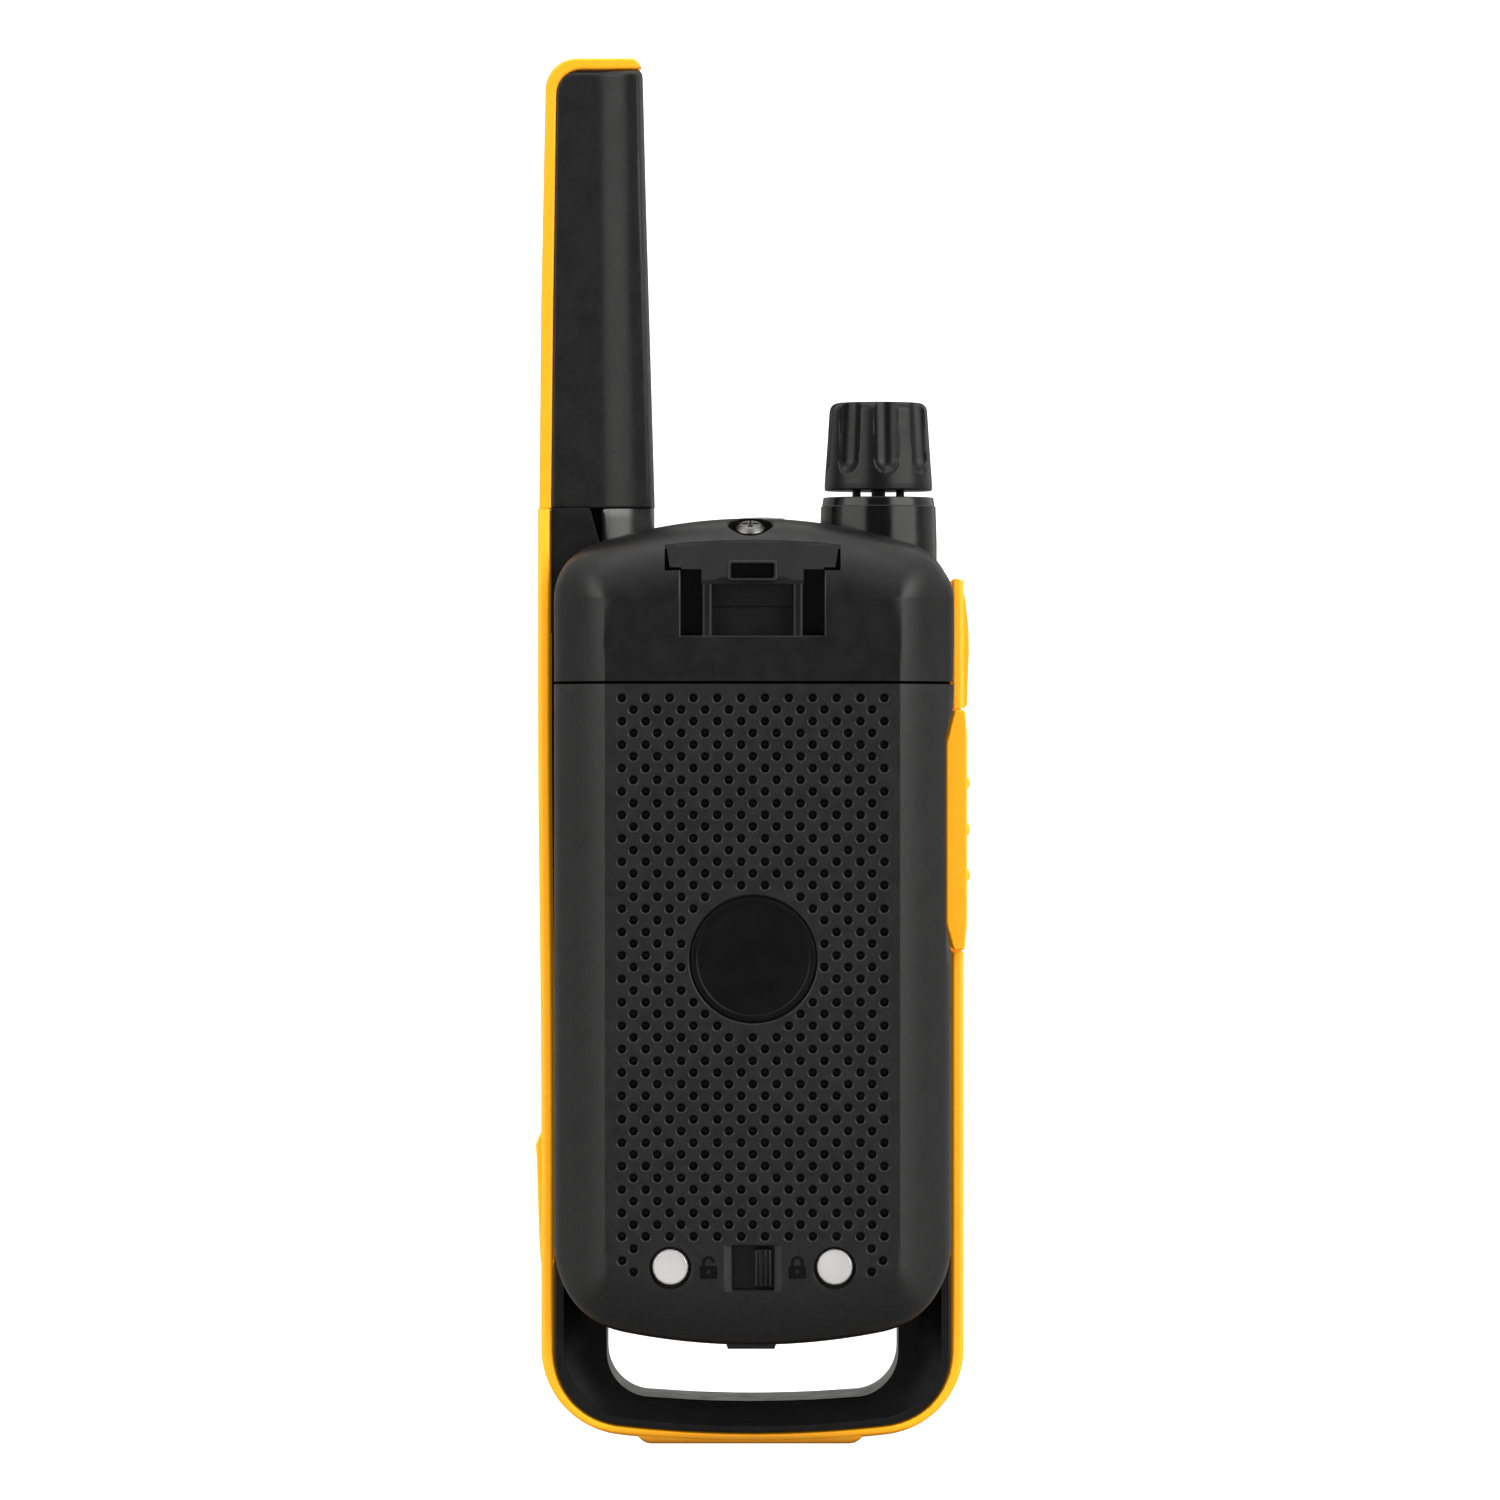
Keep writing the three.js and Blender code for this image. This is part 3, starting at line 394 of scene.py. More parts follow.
def rail_outline(inset, top):
    return mirror_close(np.concatenate([rail_half(inset), [[HALF - inset, top]]]))


def shift_sideways(target, shift):
    """Moves each vertex along X by shift(x, y, z)."""
    mesh = target.data
    coords = np.empty(len(mesh.vertices) * 3)
    mesh.vertices.foreach_get("co", coords)
    coords = coords.reshape(-1, 3)
    coords[:, 0] += shift(*coords.T)
    mesh.vertices.foreach_set("co", coords.ravel())
    mesh.update()


def lean(target, start=22.0):
    """The +X rail and the casing beside it stand a little further out towards the top."""
    shift_sideways(target, lambda x, y, z:
                   0.47 * smoothstep(z, 42.0, 60.0) * np.clip((x - start) / 4.0, 0, 1))


def flare(target, start):
    """The -X side wall stands a little further out towards the back, above Z = start."""
    shift_sideways(target, lambda x, y, z:
                   -0.42 * np.clip((-x - 26.3) / 0.9, 0, 1) * np.clip((y + 2.4) / 9.0, 0, 1)
                   * np.clip((z - start) / 3.0, 0, 1))


# ------------------------------------------------------------------ the back surface
def drops(x, z):
    """How far the back falls away towards its sides, its arch and its lower edge."""
    x, z = np.asarray(x, float), np.asarray(z, float)
    share = np.clip((np.abs(x) - PANEL_X) / (SIDE_X - PANEL_X), 0, 1)
    side = 4.0 * share + 3.5 * share * share
    below_arch = ARCH_TOP - ARCH_R + np.sqrt(ARCH_R**2 - x * x) - z
    top = 9.2 * dip(np.clip((11.5 - below_arch) / 11.5, 0, 1))
    above_edge = z - (DOOR_BOTTOM + DOOR_R - np.sqrt(DOOR_R**2 - x * x))
    low = 5.6 * dip(np.clip((9.5 - above_edge) / 9.5, 0, 1))
    blend = 2.2
    return (side**blend + top**blend + low**blend) ** (1 / blend)


def back_height(x, z, inset=99.0):
    return BACK_Y - drops(x, z) - edge_drop(inset)


def back_solid(name, low, shrink=0.0):
    """The closed body under the back surface, from Y = low; shrink gives the inner body."""
    insets = [0, 0.02, 0.07, 0.16, 0.3, 0.48, 0.7, 0.95, 1.25, 1.6, 2.1, 2.7, 3.4, 4.1, 4.8, 5.5,
              6.1, 6.6, 7.1]
    if shrink:
        insets = [0, 0.1, 0.4, 0.9, 1.6, 2.6, 3.8, 5.0, 7.1 - shrink]
    outline = rear_outline(shrink)
    top = back_height(*outline.T, 0.0) - shrink * 0.9
    rings = [place(outline, low + (top - low) * share, "y") for share in (0.0, 0.5, 0.85)]
    for inset in insets:
        outline = rear_outline(inset + shrink)
        sink = shrink * (0.9 if inset < 1 else 1.0)
        rings.append(place(outline, back_height(*outline.T, inset) - sink, "y"))
    verts, faces = bridge(rings, last_cap=False)
    # inside the last ring, with rows of points where the surface bends at top and bottom
    edge = rings[-1][:, [0, 2]]
    points = [Vector((float(x), float(z))) for x, z in edge]
    upper, lower = (part[np.argsort(part[:, 0])]
                    for part in (edge[edge[:, 1] > 70], edge[edge[:, 1] <= 70]))
    for z in [*np.arange(115.9, 121.5, 0.35), *np.arange(20.5, 25.2, 0.4)]:
        for x in np.arange(-18.9, 19.0, 1.26):
            if np.interp(x, *lower.T) + 0.12 < z < np.interp(x, *upper.T) - 0.12:
                points.append(Vector((float(x), float(z))))
    filled = delaunay_2d_cdt(points, [], [list(range(len(edge)))], 1, 1e-6)
    base = len(verts)
    flat = np.array([(point.x, point.y) for point in filled[0]])
    verts = np.concatenate([verts, place(flat, back_height(*flat.T, 7.0) - shrink, "y")])
    faces += [tuple(base + i for i in face) for face in filled[2]]
    return mesh_object(name, verts, faces, weld=2e-3)


def surface_hole(outline, floor, lip):
    """A cutter down to Y = floor, whose lip follows the back surface."""
    outline = dense(outline, 0.6)

    def at(grow, depth):
        moved = offset(outline, grow)
        return place(moved, back_height(*moved.T) - depth, "y")

    rings = [at(lip, -3.0)]
    for k in range(5):
        angle = k / 4 * PI / 2
        rings.append(at(lip * (1 - math.sin(angle)), lip * (1 - math.cos(angle))))
    rings.append(place(outline, floor, "y"))
    return mesh_object("cutter", *bridge(rings))


def floor_cutter(outline, floor, top=21.0, step=0.5):
    """A cutter over an outline of (x, z) whose lower face follows floor(x, z)."""
    points = np.array(outline, float)
    low, high = points.min(0) - 0.4, points.max(0) + 0.4
    columns, rows = (int((high[i] - low[i]) / step) + 2 for i in (0, 1))
    x, z = np.meshgrid(np.linspace(low[0], high[0], columns),
                       np.linspace(low[1], high[1], rows), indexing="ij")
    grid = np.stack([x.ravel(), z.ravel()], 1)
    size, faces = columns * rows, []

    def index(i, j):
        return i * rows + j

    for i in range(columns - 1):
        for j in range(rows - 1):
            quad = (index(i, j), index(i + 1, j), index(i + 1, j + 1), index(i, j + 1))
            faces.append(quad)
            faces.append(tuple(k + size for k in quad[::-1]))
    border = [index(i, 0) for i in range(columns)]
    border += [index(columns - 1, j) for j in range(1, rows)]
    border += [index(i, rows - 1) for i in range(columns - 2, -1, -1)]
    border += [index(0, j) for j in range(rows - 2, 0, -1)]
    for here, after in zip(border, border[1:] + border[:1]):
        faces.append((after, here, here + size, after + size))
    verts = np.concatenate([place(grid, floor(*grid.T), "y"), place(grid, top, "y")])
    made = mesh_object("cutter", verts, faces)
    meet(made, cutter(outline, 5, top - 0.5))
    return made


# ------------------------------------------------------------------ materials
class Shader:
    """The emptied node tree of a material or world, with short ways to add nodes."""

    def __init__(self, owner):
        owner.use_nodes = True
        self.tree = owner.node_tree
        self.tree.nodes.clear()

    def node(self, kind, inputs={}, output=0, **settings):
        """Adds a node; each input takes a link or a value. Returns one of its outputs."""
        made = self.tree.nodes.new("ShaderNode" + kind)
        for key, value in settings.items():
            setattr(made, key, value)
        for key, value in inputs.items():
            if isinstance(value, bpy.types.NodeSocket):
                self.tree.links.new(value, made.inputs[key])
            else:
                made.inputs[key].default_value = value
        return made.outputs[output] if len(made.outputs) else None

    def math(self, operation, *values):
        return self.node("Math", dict(enumerate(values)), operation=operation)

    def ramp(self, value, low, high, to_low=0.0, to_high=1.0, **settings):
        return self.node("MapRange", {"Value": value, "From Min": low, "From Max": high,
                                      "To Min": to_low, "To Max": to_high}, **settings)

    def smooth(self, value, low, high, to_low, to_high):
        return self.ramp(value, low, high, to_low, to_high, interpolation_type="SMOOTHSTEP")

    def mix(self, share, first, second):
        """Mixes two colours, each a link or a linear colour."""
        first, second = (side if isinstance(side, bpy.types.NodeSocket) else (*side[:3], 1)
                         for side in (first, second))
        return self.node("Mix", {0: share, 6: first, 7: second}, output=2, data_type="RGBA")


def material(name, colour, rough, grain, grain_size, metal=0.0, speckle=0.0, blotch=0.06,
             wear=0.0, wear_colour=None, spec=0.5, coat=0.0, brushed=None, rough_var=0.06,
             transmission=0.0, sheen=0.0, scratches=0.0, glow=0.0, ground=None):
    """A procedural material at real scale: sizes are in millimetres, colours are linear."""
    made = bpy.data.materials.new(name)
    shader = Shader(made)
    ramp, mix = shader.ramp, shader.mix
    position = shader.node("TexCoord", output="Object")

    def noise(size, detail=2.0, roughness=0.5, vector=position):
        return shader.node("TexNoise", {"Vector": vector, "Scale": 1000.0 / size,
                                        "Detail": detail, "Roughness": roughness})

    base = np.array(colour, float)
    light = np.minimum(base * (1 + blotch * 1.6), 1)
    shade = mix(ramp(noise(14.0, 3.0), 0.3, 0.7), base * (1 - blotch * 1.6), light)
    if speckle > 0:
        specks = ramp(noise(grain_size * 1.6, 1.0), 0.42, 0.62)
        shade = mix(specks, shade, np.minimum(base * (1 + speckle), 1))
    if wear > 0:
        # worn, lighter convex edges
        edges = ramp(shader.node("NewGeometry", output="Pointiness"), 0.505, 0.53, 0.0, wear)
        worn = shader.math("MULTIPLY", edges, ramp(noise(2.2, 3.0), 0.35, 0.65))
        shade = mix(worn, shade, wear_colour or np.minimum(base * 2.2 + 0.01, 1))
    if brushed:
        streaks = noise(1.0, 4.0, 0.7, shader.node("Mapping", {"Vector": position,
                                                              "Scale": brushed}))
        shade = mix(ramp(streaks, 0.3, 0.7, 0, 0.35), shade, base * 0.72)
    if ground:
        # painted shade: darker between these two heights above the floor
        start, end, dark = ground
        height = shader.node("SeparateXYZ", {0: position}, output=2)
        shade = mix(ramp(height, start * 0.001, end * 0.001, 1.0, 0.0), shade, dark)
    roughness = ramp(noise(3.5, 4.0, 0.6), 0.3, 0.7,
                     max(0.02, rough - rough_var), min(1, rough + rough_var))
    if scratches > 0:
        stretched = shader.node("Mapping", {"Vector": position, "Rotation": (0.4, 0.9, 0.3),
                                            "Scale": (1.0, 0.06, 1.0)})
        lines = ramp(noise(0.5, 3.0, 0.75, stretched), 0.6, 0.7, 0.0, scratches)
        roughness = shader.math("ADD", roughness, lines)
    waves = shader.node("Bump", {"Strength": 1.0, "Distance": 0.00001,
                                 "Height": noise(9.0, 2.0)})
    relief = streaks if brushed else noise(grain_size, 2.0, 0.55)
    bump = shader.node("Bump", {"Strength": 1.0, "Distance": grain * 0.001, "Height": relief,
                                "Normal": waves})
    surface = {"Base Color": shade, "Roughness": roughness, "Metallic": metal,
               "Specular IOR Level": spec, "Transmission Weight": transmission, "Normal": bump}
    if coat > 0:
        surface.update({"Coat Weight": coat, "Coat Roughness": 0.08})
    if sheen > 0:
        surface.update({"Sheen Weight": sheen, "Sheen Roughness": 0.4})
    # painted light: emission brightens the surface though the part is no lamp
    if glow > 0:
        surface.update({"Emission Color": shade, "Emission Strength": glow})
    shader.node("OutputMaterial", {0: shader.node("BsdfPrincipled", surface)})
    made.diffuse_color = (*[float(part) for part in base], 1)
    return made


# name, linear colour, roughness, bump height in mm, bump size in mm, the other settings
MATERIALS = [
    ("shell_black", (0.0034, 0.0034, 0.0036), 0.36, 0.009, 0.22,
     dict(speckle=0.3, wear=0.2, spec=0.225)),
    ("door_black", (0.0078, 0.0078, 0.0080), 0.37, 0.010, 0.24,
     dict(speckle=0.35, wear=0.2, spec=0.23)),
    ("antenna_black", (0.0046, 0.0046, 0.0048), 0.4, 0.012, 0.28,
     dict(speckle=0.4, wear=0.2, spec=0.26)),
    # the yellows carry a faint painted glow (emission) that brightens them
    ("strip_yellow", (0.93, 0.345, 0.006), 0.42, 0.008, 0.3,
     dict(speckle=0.06, blotch=0.02, wear=0.15, wear_colour=(0.95, 0.5, 0.06), spec=0.26,
          glow=0.03)),
    # painted shade: near black for the shadowed scoop of the handle loop
    ("loop_black", (0.0012, 0.0012, 0.0013), 0.42, 0.006, 0.24, dict(speckle=0.2, spec=0.1)),
    ("inner_black", (0.010, 0.010, 0.0105), 0.6, 0.01, 0.3, dict(speckle=0.2, spec=0.4)),
    ("gloss_black", (0.0035, 0.0035, 0.0037), 0.17, 0.002, 0.9,
     dict(spec=0.24, rough_var=0.04, scratches=0.08)),
    ("socket_black", (0.010, 0.010, 0.0102), 0.27, 0.002, 0.9,
     dict(spec=0.75, rough_var=0.04, scratches=0.08)),
    ("latch_black", (0.0032, 0.0032, 0.0034), 0.3, 0.005, 0.25, dict(speckle=0.2, spec=0.3)),
    ("knob_black", (0.0036, 0.0036, 0.0038), 0.31, 0.008, 0.2,
     dict(speckle=0.3, wear=0.2, spec=0.175)),
    # painted shade darkens this yellow near the floor, and a painted glow brightens it
    ("rail_yellow", (0.96, 0.40, 0.008), 0.42, 0.008, 0.3,
     dict(speckle=0.06, blotch=0.02, wear=0.15, wear_colour=(0.95, 0.5, 0.06), spec=0.28,
          glow=0.115, ground=(0.3, 2.6, (0.33, 0.125, 0.004)))),
    ("badge_black", (0.0010, 0.0010, 0.0011), 0.42, 0.004, 0.3, dict(speckle=0.2, spec=0.12)),
    ("icon_black", (0.0008, 0.0008, 0.0009), 0.5, 0.003, 0.3, dict(spec=0.1)),
    ("bright_metal", (0.78, 0.775, 0.76), 0.3, 0.003, 0.5,
     dict(metal=1.0, blotch=0.03, scratches=0.18)),
    ("contact_metal", (0.58, 0.578, 0.572), 0.4, 0.004, 0.35,
     dict(metal=0.45, blotch=0.05, scratches=0.25, brushed=(900.0, 900.0, 90.0))),
    ("screw_steel", (0.13, 0.13, 0.128), 0.3, 0.004, 0.4,
     dict(metal=1.0, blotch=0.08, scratches=0.2)),
    ("steel", (0.42, 0.42, 0.42), 0.32, 0.003, 0.6, dict(metal=1.0, blotch=0.05, scratches=0.2)),
    ("brass", (0.62, 0.42, 0.14), 0.3, 0.003, 0.6, dict(metal=1.0)),
    ("rubber_black", (0.012, 0.012, 0.012), 0.72, 0.01, 0.25, dict(speckle=0.3, sheen=0.1)),
    ("key_rubber", (0.03, 0.03, 0.031), 0.6, 0.008, 0.22,
     dict(speckle=0.25, sheen=0.12, wear=0.3)),
    ("key_mark", (0.72, 0.72, 0.70), 0.5, 0.003, 0.3, dict(blotch=0.03)),
    ("clear_lens", (0.82, 0.86, 0.88), 0.06, 0.001, 3.0, dict(transmission=0.85)),
    ("led_white", (0.85, 0.75, 0.25), 0.35, 0.004, 0.3, {}),
    ("board_green", (0.012, 0.06, 0.028), 0.35, 0.01, 0.5, dict(speckle=0.5, blotch=0.15)),
    ("grey_plastic", (0.075, 0.075, 0.075), 0.55, 0.012, 0.25, dict(speckle=0.2)),
    ("paper_cone", (0.02, 0.02, 0.019), 0.85, 0.03, 0.3, dict(speckle=0.5, sheen=0.2)),
    ("cell_wrap", (0.022, 0.12, 0.058), 0.28, 0.004, 1.4,
     dict(blotch=0.08, coat=0.4, scratches=0.15)),
    ("cell_cap", (0.55, 0.55, 0.54), 0.3, 0.003, 0.4,
     dict(metal=1.0, blotch=0.05, scratches=0.2)),
    ("smoked_lens", (0.006, 0.007, 0.008), 0.07, 0.0015, 4.0,
     dict(spec=0.6, coat=0.5, rough_var=0.02, scratches=0.05)),
    ("display_grey", (0.13, 0.15, 0.12), 0.3, 0.002, 0.6, dict(blotch=0.03)),
    ("view_grey", (0.035, 0.042, 0.036), 0.12, 0.001, 3.0, dict(coat=0.5)),
]
MATERIAL = {row[0]: material(*row[:5], **row[5]) for row in MATERIALS}


def finish(made, body, slot, stands_for=None, looks=None, angle=32.0, weighted=True):
    """Turns a piece into metres, shades it, puts it under the empty of its body and hides the frame
    node it stands for. looks names its materials where they differ from the slot; edges sharper than
    angle degrees stay sharp."""
    mesh = made.data
    mesh.transform(Matrix.Scale(0.001, 4))
    mesh.materials.clear()
    for name in looks or [slot]:
        mesh.materials.append(MATERIAL[name])
    mesh.polygons.foreach_set("use_smooth", [True] * len(mesh.polygons))
    mesh.set_sharp_from_angle(angle=math.radians(angle))
    mesh.update()
    if weighted:
        normals = made.modifiers.new("normals", "WEIGHTED_NORMAL")
        normals.keep_sharp = True
        normals.weight = 60
    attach(made, body)
    if stands_for:
        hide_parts(stands_for)


# ------------------------------------------------------------------ rear housing
def cut_talk_notch(target):
    """Clears the -X side behind the talk button, deeper in front than behind."""
    low, high = TALK_LO[2], TALK_HI[2]
    for x, slope, front, back in ((-25.6, 2.0, -6, 8.0), (-26.42, 3.8, 7.5, 24.0)):
        outline = [[-40, low - 1.4], [-27.5, low - 1.4], [x, low + slope],
                   [x, high - slope], [-27.5, high + 1.4], [-40, high + 1.4]]
        cut(target, cutter(outline, front, back))


def battery_floor():
    """Floor of the battery bay with its walls, the keeper post and the ribs between cells."""
    floor = slab("floor", bay_outline(0.3, 111.3), REAR_FRONT_Y, -0.2, r_high=0.2, steps=2)
    bay = slab("bay", rect(-23.5, 23.5, 37.4, 97.4, 1.0), -0.6, 9.3, r_high=0.35, steps=3)
    cut(bay, cutter(rect(-22.1, 22.1, 38.8, 96.0, 0.6), -1.2, 14))
    # finger reliefs in the bay's long walls
    for x0, x1 in ((-26, -21), (21, 26)):
        cut(bay, cutter(rect(x0, x1, 58, 76, 3.0), 4.5, 14))
    post = slab("post", rect(-4.2, -1.2, 18.2, 20.2, 0.3), -0.6, 12.6, r_high=0.3, steps=3)
    join(floor, bay, post)
    for x in (-CELL_PITCH / 2, CELL_PITCH / 2):
        outline = rect(x - 0.45, x + 0.45, 38.0, 96.6, 0.3, 3)
        join(floor, slab("rib", outline, -0.6, 2.2, r_high=0.3, steps=3))
    return floor


def cut_clip_seat(shell):
    """The belt clip seat: a bar across the top with two legs down from it."""
    leg_in, leg_out, wing = 6.95, 9.8, 12.0  # half widths
    low, step, bar_low, bar_top = 111.1, 118.15, 120.0, 124.2
    leg_floor = 16.35
    bar = [[-wing, bar_low], [-leg_in, bar_low], [-leg_in, step], [leg_in, step],
           [leg_in, bar_low], [wing, bar_low], [wing, 123.5], [8.5, 123.85], [4.3, 124.1],
           [0, bar_top], [-4.3, 124.1], [-8.5, 123.85], [-wing, 123.5]]

    def bar_floor(x, z):
        """Starts level with the surface at the bar's top edge and gets deeper downwards."""
        top = bar_top - x * x / 205.0
        slope = back_height(x, top) - 0.04 + (top - z) * 0.44
        return np.minimum(slope, back_height(x, z) - 0.04)

    cut(shell, surface_hole(rect(-leg_out, leg_out, low, 120.4), leg_floor, 0.28))
    cut(shell, floor_cutter(bar, bar_floor))
    cut(shell, cutter(rect(-leg_in, leg_in, low, step), 13.6, 21))
    for side in (-1, 1):
        x0, x1 = sorted((side * leg_in, side * leg_out))
        cut(shell, hole(rect(x0, x1, low, 120.15), 10.9, leg_floor, lip_high=0.12, steps=2))
        # the wing of the bar stands clear of its end wall and its lower edge
        x0, x1 = sorted((side * 9.7, side * wing))
        cut(shell, cutter(rect(x0, x1, 119.98, 120.42), 11.5, 16.1))
        end = [[11.2, 119.98], [wing, 119.98], [wing, 123.0], [11.7, 123.0]]
        cut(shell, cutter(end if side > 0 else [[-x, z] for x, z in end[::-1]], 11.3, 15.6))
    # columns: y, z
    ramp = [(20, low), (13.15, low), (13.15, 115.0), (12.9, 115.12), (13.5, step), (20, step)]
    cut(shell, cutter(ramp, -5.5, 5.5, axis="x"))
    for side in (-1, 1):
        x0, x1 = sorted((side * 5.45, side * leg_in))
        join(shell, slab("guide", rect(x0, x1, 109.6, 118.75, 0.3, 4), 12.6, 16.3, r_high=0.5))
    # catch slot with its raised rim, square to the floor of the bar
    outline = dense(rect(-3.4, 3.4, 118.5, 121.4, 0.5, 4), 0.5)
    rings = []
    for grow, rise in ((0, -1.4), (0, 0.1), (-0.05, 0.18), (-0.13, 0.24), (-0.24, 0.25)):
        moved = offset(outline, grow)
        rings.append(place(moved, bar_floor(*moved.T) + rise, "y"))
    join(shell, mesh_object("rim", *bridge(rings)))
    cut(shell, cutter(rect(-2.95, 2.95, 118.92, 120.98, 0.25, 3), 11.2, 20))


def make_rear():
    shell = back_solid("rear_casing", REAR_FRONT_Y)
    meet(shell, box_cutter(-45, 45, -9, 30, SEAM_TOP, 140))
    # hollow for the encoder, the antenna stud and the torch
    hollow = cutter(rear_outline(2.2), -9, 8.6)
    meet(hollow, box_cutter(-45, 45, -20, 30, SEAM_TOP + 2.2, 140))
    cut(shell, hollow)
    join(shell, battery_floor())
    cut_talk_notch(shell)
    # room for the antenna foot and the knob collar
    cut(shell, box_cutter(12.5, 40, -9, 2.5, 111.2, 140))
    cut(shell, cutter(circle(KNOB_X, KNOB_Y, 8.25, 72), 121, 150, axis="z"))
    cut(shell, box_cutter(-27, -8, -9, 5, 111.4, 121.4))
    cut_clip_seat(shell)
    # top screw: counterbore and hole, tilted back
    tilt = Matrix.Translation(SCREW_POS) @ Matrix.Rotation(-SCREW_TILT, 4, "X")
    bore = hole(circle(0, 0, 3.0, 48), 0, 1.55, axis="z", lip_high=0.3, steps=3, poke=8)
    bore.data.transform(tilt)
    shaft = cutter(circle(0, 0, 1.5, 24), -12, 1, axis="z")
    shaft.data.transform(tilt)
    cut(shell, bore, shaft)
    for i in (1, 2, 3, 4):
        x, _, z = centre_of("case_screw_%d" % i)
        cut(shell, cutter(circle(x, z, 1.6, 24), -5, 2))
    flare(shell, 103.0)
    finish(shell, "housing", "shell_black", "rear_housing", angle=30)


# ------------------------------------------------------------------ battery door
CONTACTS = ("charge_contact_left", "charge_contact_right")


def dimples():
    """Centres (x, z) of the dimples, in staggered rows that leave the badge clear."""
    pitch, row_pitch = 3.249, 1.594
    points = []
    for row in range(47):
        start, count = (17.80, 12) if row % 2 == 0 else (16.22, 11)
        points += [(x, 102.57 - row_pitch * row) for x in start - pitch * np.arange(count)]
    for x, z in ((16.2, 27.57), (17.75, 25.95), (16.2, 24.4)):
        points += [(x, z), (-x, z)]
    return [(x, z) for x, z in points if math.hypot(x - BADGE_X, z - BADGE_Z) > 9.25]


def dimple_cutter():
    # columns: radius, depth below the surface; the last is the tip
    profile = [(0.84, -0.6), (0.84, 0.0), (0.71, 0.035), (0.615, 0.12), (0.565, 0.27),
               (0.54, 0.6), (0.50, 1.38), (0.32, 1.5), (0.0, 1.52)]
    sides = 12
    verts, faces = [], []
    for x, z in dimples():
        height = float(back_height(x, z))
        rings = [place(circle(x, z, radius, sides), height - depth, "y")
                 for radius, depth in profile[:-1]]
        wall_verts, wall_faces = bridge(rings, False, False)
        base = len(verts)
        verts += [*wall_verts, (x, height - profile[-1][1], z)]
        tip = len(verts) - 1
        last = tip - sides
        faces += [tuple(base + i for i in face) for face in wall_faces]
        faces += [(last + i, last + (i + 1) % sides, tip) for i in range(sides)]
        faces.append(tuple(base + i for i in reversed(range(sides))))
    return mesh_object("cutter", verts, faces, weld=0)


def make_door():
    door = back_solid("battery_cover", DOOR_LO[1])
    meet(door, box_cutter(-45, 45, -5, 30, 0, DOOR_TOP))
    cut(door, back_solid("cutter", -6, shrink=1.9))
    join(door, slab("wall", rect(-26.0, -24.3, 66.9, DOOR_TOP), DOOR_LO[1], 10.4))
    cut(door, box_cutter(-40, -25.6, -5, 8, 98.9, DOOR_TOP + 1))
    tab = [[-3.7, 15.6], [-3.0, 13.62], [3.4, 13.62], [4.05, 15.6]]
    join(door, slab("tab", tab, 7.5, 12.2, r_low=0.3, r_high=0.4, steps=3))
    cut_talk_notch(door)
    cut(door, hole(circle(BADGE_X, BADGE_Z, BADGE_R + 0.22, 96), 15.9, BACK_Y, lip_high=0.22))
    for node in CONTACTS:
        x, _, z = centre_of(node)
        height = float(back_height(x, z))
        cut(door, hole(circle(x, z, 2.5, 56), 10, height, lip_high=0.1, steps=2))
        cut(door, hole(circle(x, z - 0.12, 2.9, 56), 15.5, height, lip_high=0.14, steps=3))
    # latch slot: a scoop on each side, then the slot itself
    height = float(back_height(0, 25))
    scoop = [(-4.0, height + 1), (-4.0, height + 0.02), (-2.97, height - 0.75),
             (2.8, height - 0.75), (3.95, height + 0.02), (3.95, height + 1)]
    cut(door, cutter(scoop, 21.75, 28.15, axis="z"))
    slot = rect(-2.97, 2.8, 21.9, 28.0, 0.2, 3)
    cut(door, hole(slot, 10, height - 0.7, lip_high=0.12, steps=3))
    cut(door, dimple_cutter())
    flare(door, 99.0)
    finish(door, "door", "door_black", "battery_door", angle=30)


def make_badge():
    low, high = BADGE_LO[1], BADGE_HI[1]
    profile = [(0, low), (BADGE_R, low), (BADGE_R, high - 0.02), (BADGE_R - 0.75, high),
               (BADGE_R - 0.95, high - 0.1), (0, high - 0.1)]
    profile = fillet(profile, [0.05, 0.15, 0.05, 0.05], 3)
    finish(lathe("badge_disc", profile, 96, (BADGE_X, BADGE_Z), "y"),
           "door", "badge_black", "door_badge")


def make_contacts():
    for node in CONTACTS:
        x, _, z = centre_of(node)
        low, high = (corner[1] for corner in box_of(node))
        profile = [(0, low), (1.4, low), (1.4, low + 0.7), (3.25, low + 0.7), (3.25, 14.5),
                   (2.42, 14.5), (2.42, high - 0.16), (2.2, high - 0.05), (1.1, high - 0.01),
                   (0, high)]
        profile = fillet(profile, [0.1, 0, 0.1, 0.1, 0, 0.1, 0.1, 0.3], 3)
        finish(lathe("pad_" + node.split("_")[-1], profile, 64, (x, z), "y"),
               "door", "bright_metal", node, ["contact_metal"])


def make_latch():
    low, high = (corner[1] for corner in box_of("door_latch"))
    slider = rect(-6.0, 3.2, 20.9, 29.1, 0.6, 4)
    latch = slab("latch_slider", slider, low, 14.5, r_high=0.2, steps=3)
    join(latch, slab("bolt", rect(-4.1, -1.3, 18.9, 21.4, 0.3, 3), low, 14.4))
    grip = slab("grip", rect(-2.64, -0.26, 22.3, 27.6, 0.25, 3), 14.0, high, r_high=0.3)
    for x in (-2.1, -1.45, -0.8):
        groove = rect(x - 0.1, x + 0.1, 22.0, 28.0)
        cut(grip, hole(groove, high - 0.55, high, lip_high=0.12, steps=3))
    join(latch, grip)
    finish(latch, "latch", "gloss_black", "door_latch", ["latch_black"])


